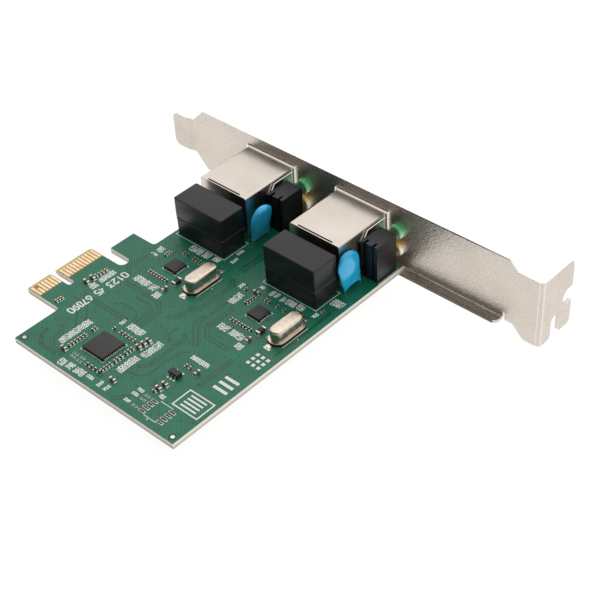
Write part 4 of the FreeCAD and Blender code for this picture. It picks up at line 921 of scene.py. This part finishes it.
# above the controllers and beside the ports
bundle([(37.2, 11.6), (38.8, 13.2), (38.8, 24.2), (37.0, 26.0)], 2)
bundle([(16.6, 26.8), (18.4, 25.0), (18.4, 23.2)], 1)
bundle([(47.0, 26.6), (48.2, 25.4), (48.2, 23.6)], 1)
bundle([(36.6, 29.6), (36.6, 44.6)], 2, 1.2, 0.7)
bundle([(63.9, 12.8), (63.9, 31.6)], 1, width=0.8)

# Vias stand at the ends of the tracks and scattered over the board: a grid of 15 by 16, moved in x
# and in y by sines of both counts. None stands under a part or outside the board's field.
i, j = np.meshgrid(np.arange(15), np.arange(16), indexing="ij")
scattered = np.stack([14.5 + 3.5 * i + 1.3 * np.sin(3.1 * j + i),
                      -19.5 + 3.1 * j + 1.2 * np.sin(2.3 * i + 1.7 * j)], axis=2).reshape(-1, 2)
places = np.vstack([via_places, scattered])
taken = [(low[:2] - 0.5, high[:2] + 0.5) for group in bodies.values() for low, high in group]
for name in ("bridge_chip", "controller_chip_1", "controller_chip_2", "crystal_base_1", "crystal_base_2"):
    low, high = box_of(name)
    taken.append((low[:2] - 0.6, high[:2] + 0.6))
free = ((places > (13.0, -21.0)) & (places < (65.4, 55.5))).all(1)
for low, high in taken:
    free &= ~((places > low) & (places < high)).all(1)
vias = [low_dome(VIA_RADIUS, 0.02, VIA_TOP, x, y, 0.0, 12) for x, y in places[free]]
piece("tracks_component_side", tracks, mask_on_copper, smooth=False)
piece("tented_vias_component_side", vias, tented_via)

# Far side: the same vias, and every other track turned over about the board's middle line. A track
# stays away if that takes it off the board's field.
MIDDLE_X, FIELD_X = 39.2, (13.0, 65.5)
to_far_side = np.array([1.0, 1.0, -1.0])
far_tracks = []
for points, faces in tracks[::2]:
    moved = points * [-1.0, 1.0, -1.0] + [2 * MIDDLE_X, 0.0, BOARD_LOW]
    if moved[:, 0].min() > FIELD_X[0] and moved[:, 0].max() < FIELD_X[1]:
        far_tracks.append((moved, faces))
piece("tracks_far_side", far_tracks, mask_on_copper, smooth=False)
far_vias = [inside_out((points * to_far_side + [0.0, 0.0, BOARD_LOW], faces)) for points, faces in vias]
piece("tented_vias_far_side", far_vias, tented_via)


# stage: pale floor, soft light, camera at the photograph's place

def floor_finish():
    """White paper that also glows a little, so that shadows on it stay faint."""
    material, add, place = new_finish("pale_studio_paper")
    cloud = add(NOISE, {"Vector": place, "Scale": 1 / 250.0})[0]
    colour = coats(add, "#5f5f5e", [(cloud, "#666665")])
    shader = add(SHADER, {"Base Color": colour, "Roughness": 0.95, "Specular IOR Level": 0.0,
                          "Emission Color": (1.0, 1.0, 0.995, 1.0), "Emission Strength": 0.95})[0]
    add(OUTPUT, [shader])
    return material


FLOOR_Z, FLOOR_HALF = -5.7 * MM, 3
floor_mesh = bpy.data.meshes.new("floor")
corners = [(x * FLOOR_HALF, y * FLOOR_HALF, FLOOR_Z) for x, y in ((-1, -1), (1, -1), (1, 1), (-1, 1))]
floor_mesh.from_pydata(corners, [], [(0, 1, 2, 3)])
floor = bpy.data.objects.new("floor", floor_mesh)
floor_mesh.materials.append(floor_finish())
bpy.context.scene.collection.objects.link(floor)
floor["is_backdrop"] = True

# The room is bright in front of the bracket and dark behind the camera, with a soft change between.
scene = bpy.context.scene
scene.world = bpy.data.worlds.new("studio")
scene.world.use_nodes = True
room = scene.world.node_tree
toward = add_node(room, SPLIT, [add_node(room, "ShaderNodeTexCoord")["Generated"]])["Y"]
brightness = add_node(room, RANGE, {"Value": toward, "From Min": -0.5, "From Max": -0.12, "To Min": 0.065,
                                    "To Max": 1.02}, interpolation_type="SMOOTHSTEP")[0]
background = room.nodes["Background"]
background.inputs["Color"].default_value = (1.0, 0.997, 0.99, 1.0)
room.links.new(brightness, background.inputs["Strength"])


def area_light(name, place, size, power):
    """A round soft lamp that looks at the middle of the card."""
    data = bpy.data.lights.new(name, "AREA")
    data.shape = "DISK"
    data.size = size
    data.energy = power
    lamp = bpy.data.objects.new(name, data)
    scene.collection.objects.link(lamp)
    lamp.location = place
    card_middle = Vector((0.04, 0.02, 0.0))
    lamp.rotation_euler = (card_middle - Vector(place)).to_track_quat("-Z", "Y").to_euler()
    lamp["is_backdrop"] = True


area_light("key", (-0.25, 0.35, 0.75), 0.5, 0.4)
area_light("fill", (0.5, -0.5, 0.5), 0.6, 0.05)

PICTURE_SIDE, FOCAL_PIXELS, SENSOR = 600, 1379.138, 36.0
camera_data = bpy.data.cameras.new("camera")
camera = bpy.data.objects.new("camera", camera_data)
scene.collection.objects.link(camera)
scene.camera = camera
camera_data.sensor_width = SENSOR
camera_data.lens = SENSOR * FOCAL_PIXELS / PICTURE_SIDE
camera_data.clip_start = 0.01
camera_data.clip_end = 10.0
camera_data.dof.use_dof = False
camera.location = (0.230958, -0.147713, 0.212060)
camera.rotation_mode = "QUATERNION"
camera.rotation_quaternion = (0.849501, 0.384126, 0.171466, 0.318424)

scene.render.engine = "CYCLES"
scene.cycles.samples = 160
scene.cycles.use_denoising = True
scene.view_settings.view_transform = "Standard"
scene.view_settings.look = "None"
scene.view_settings.exposure = 0.0

low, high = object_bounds()
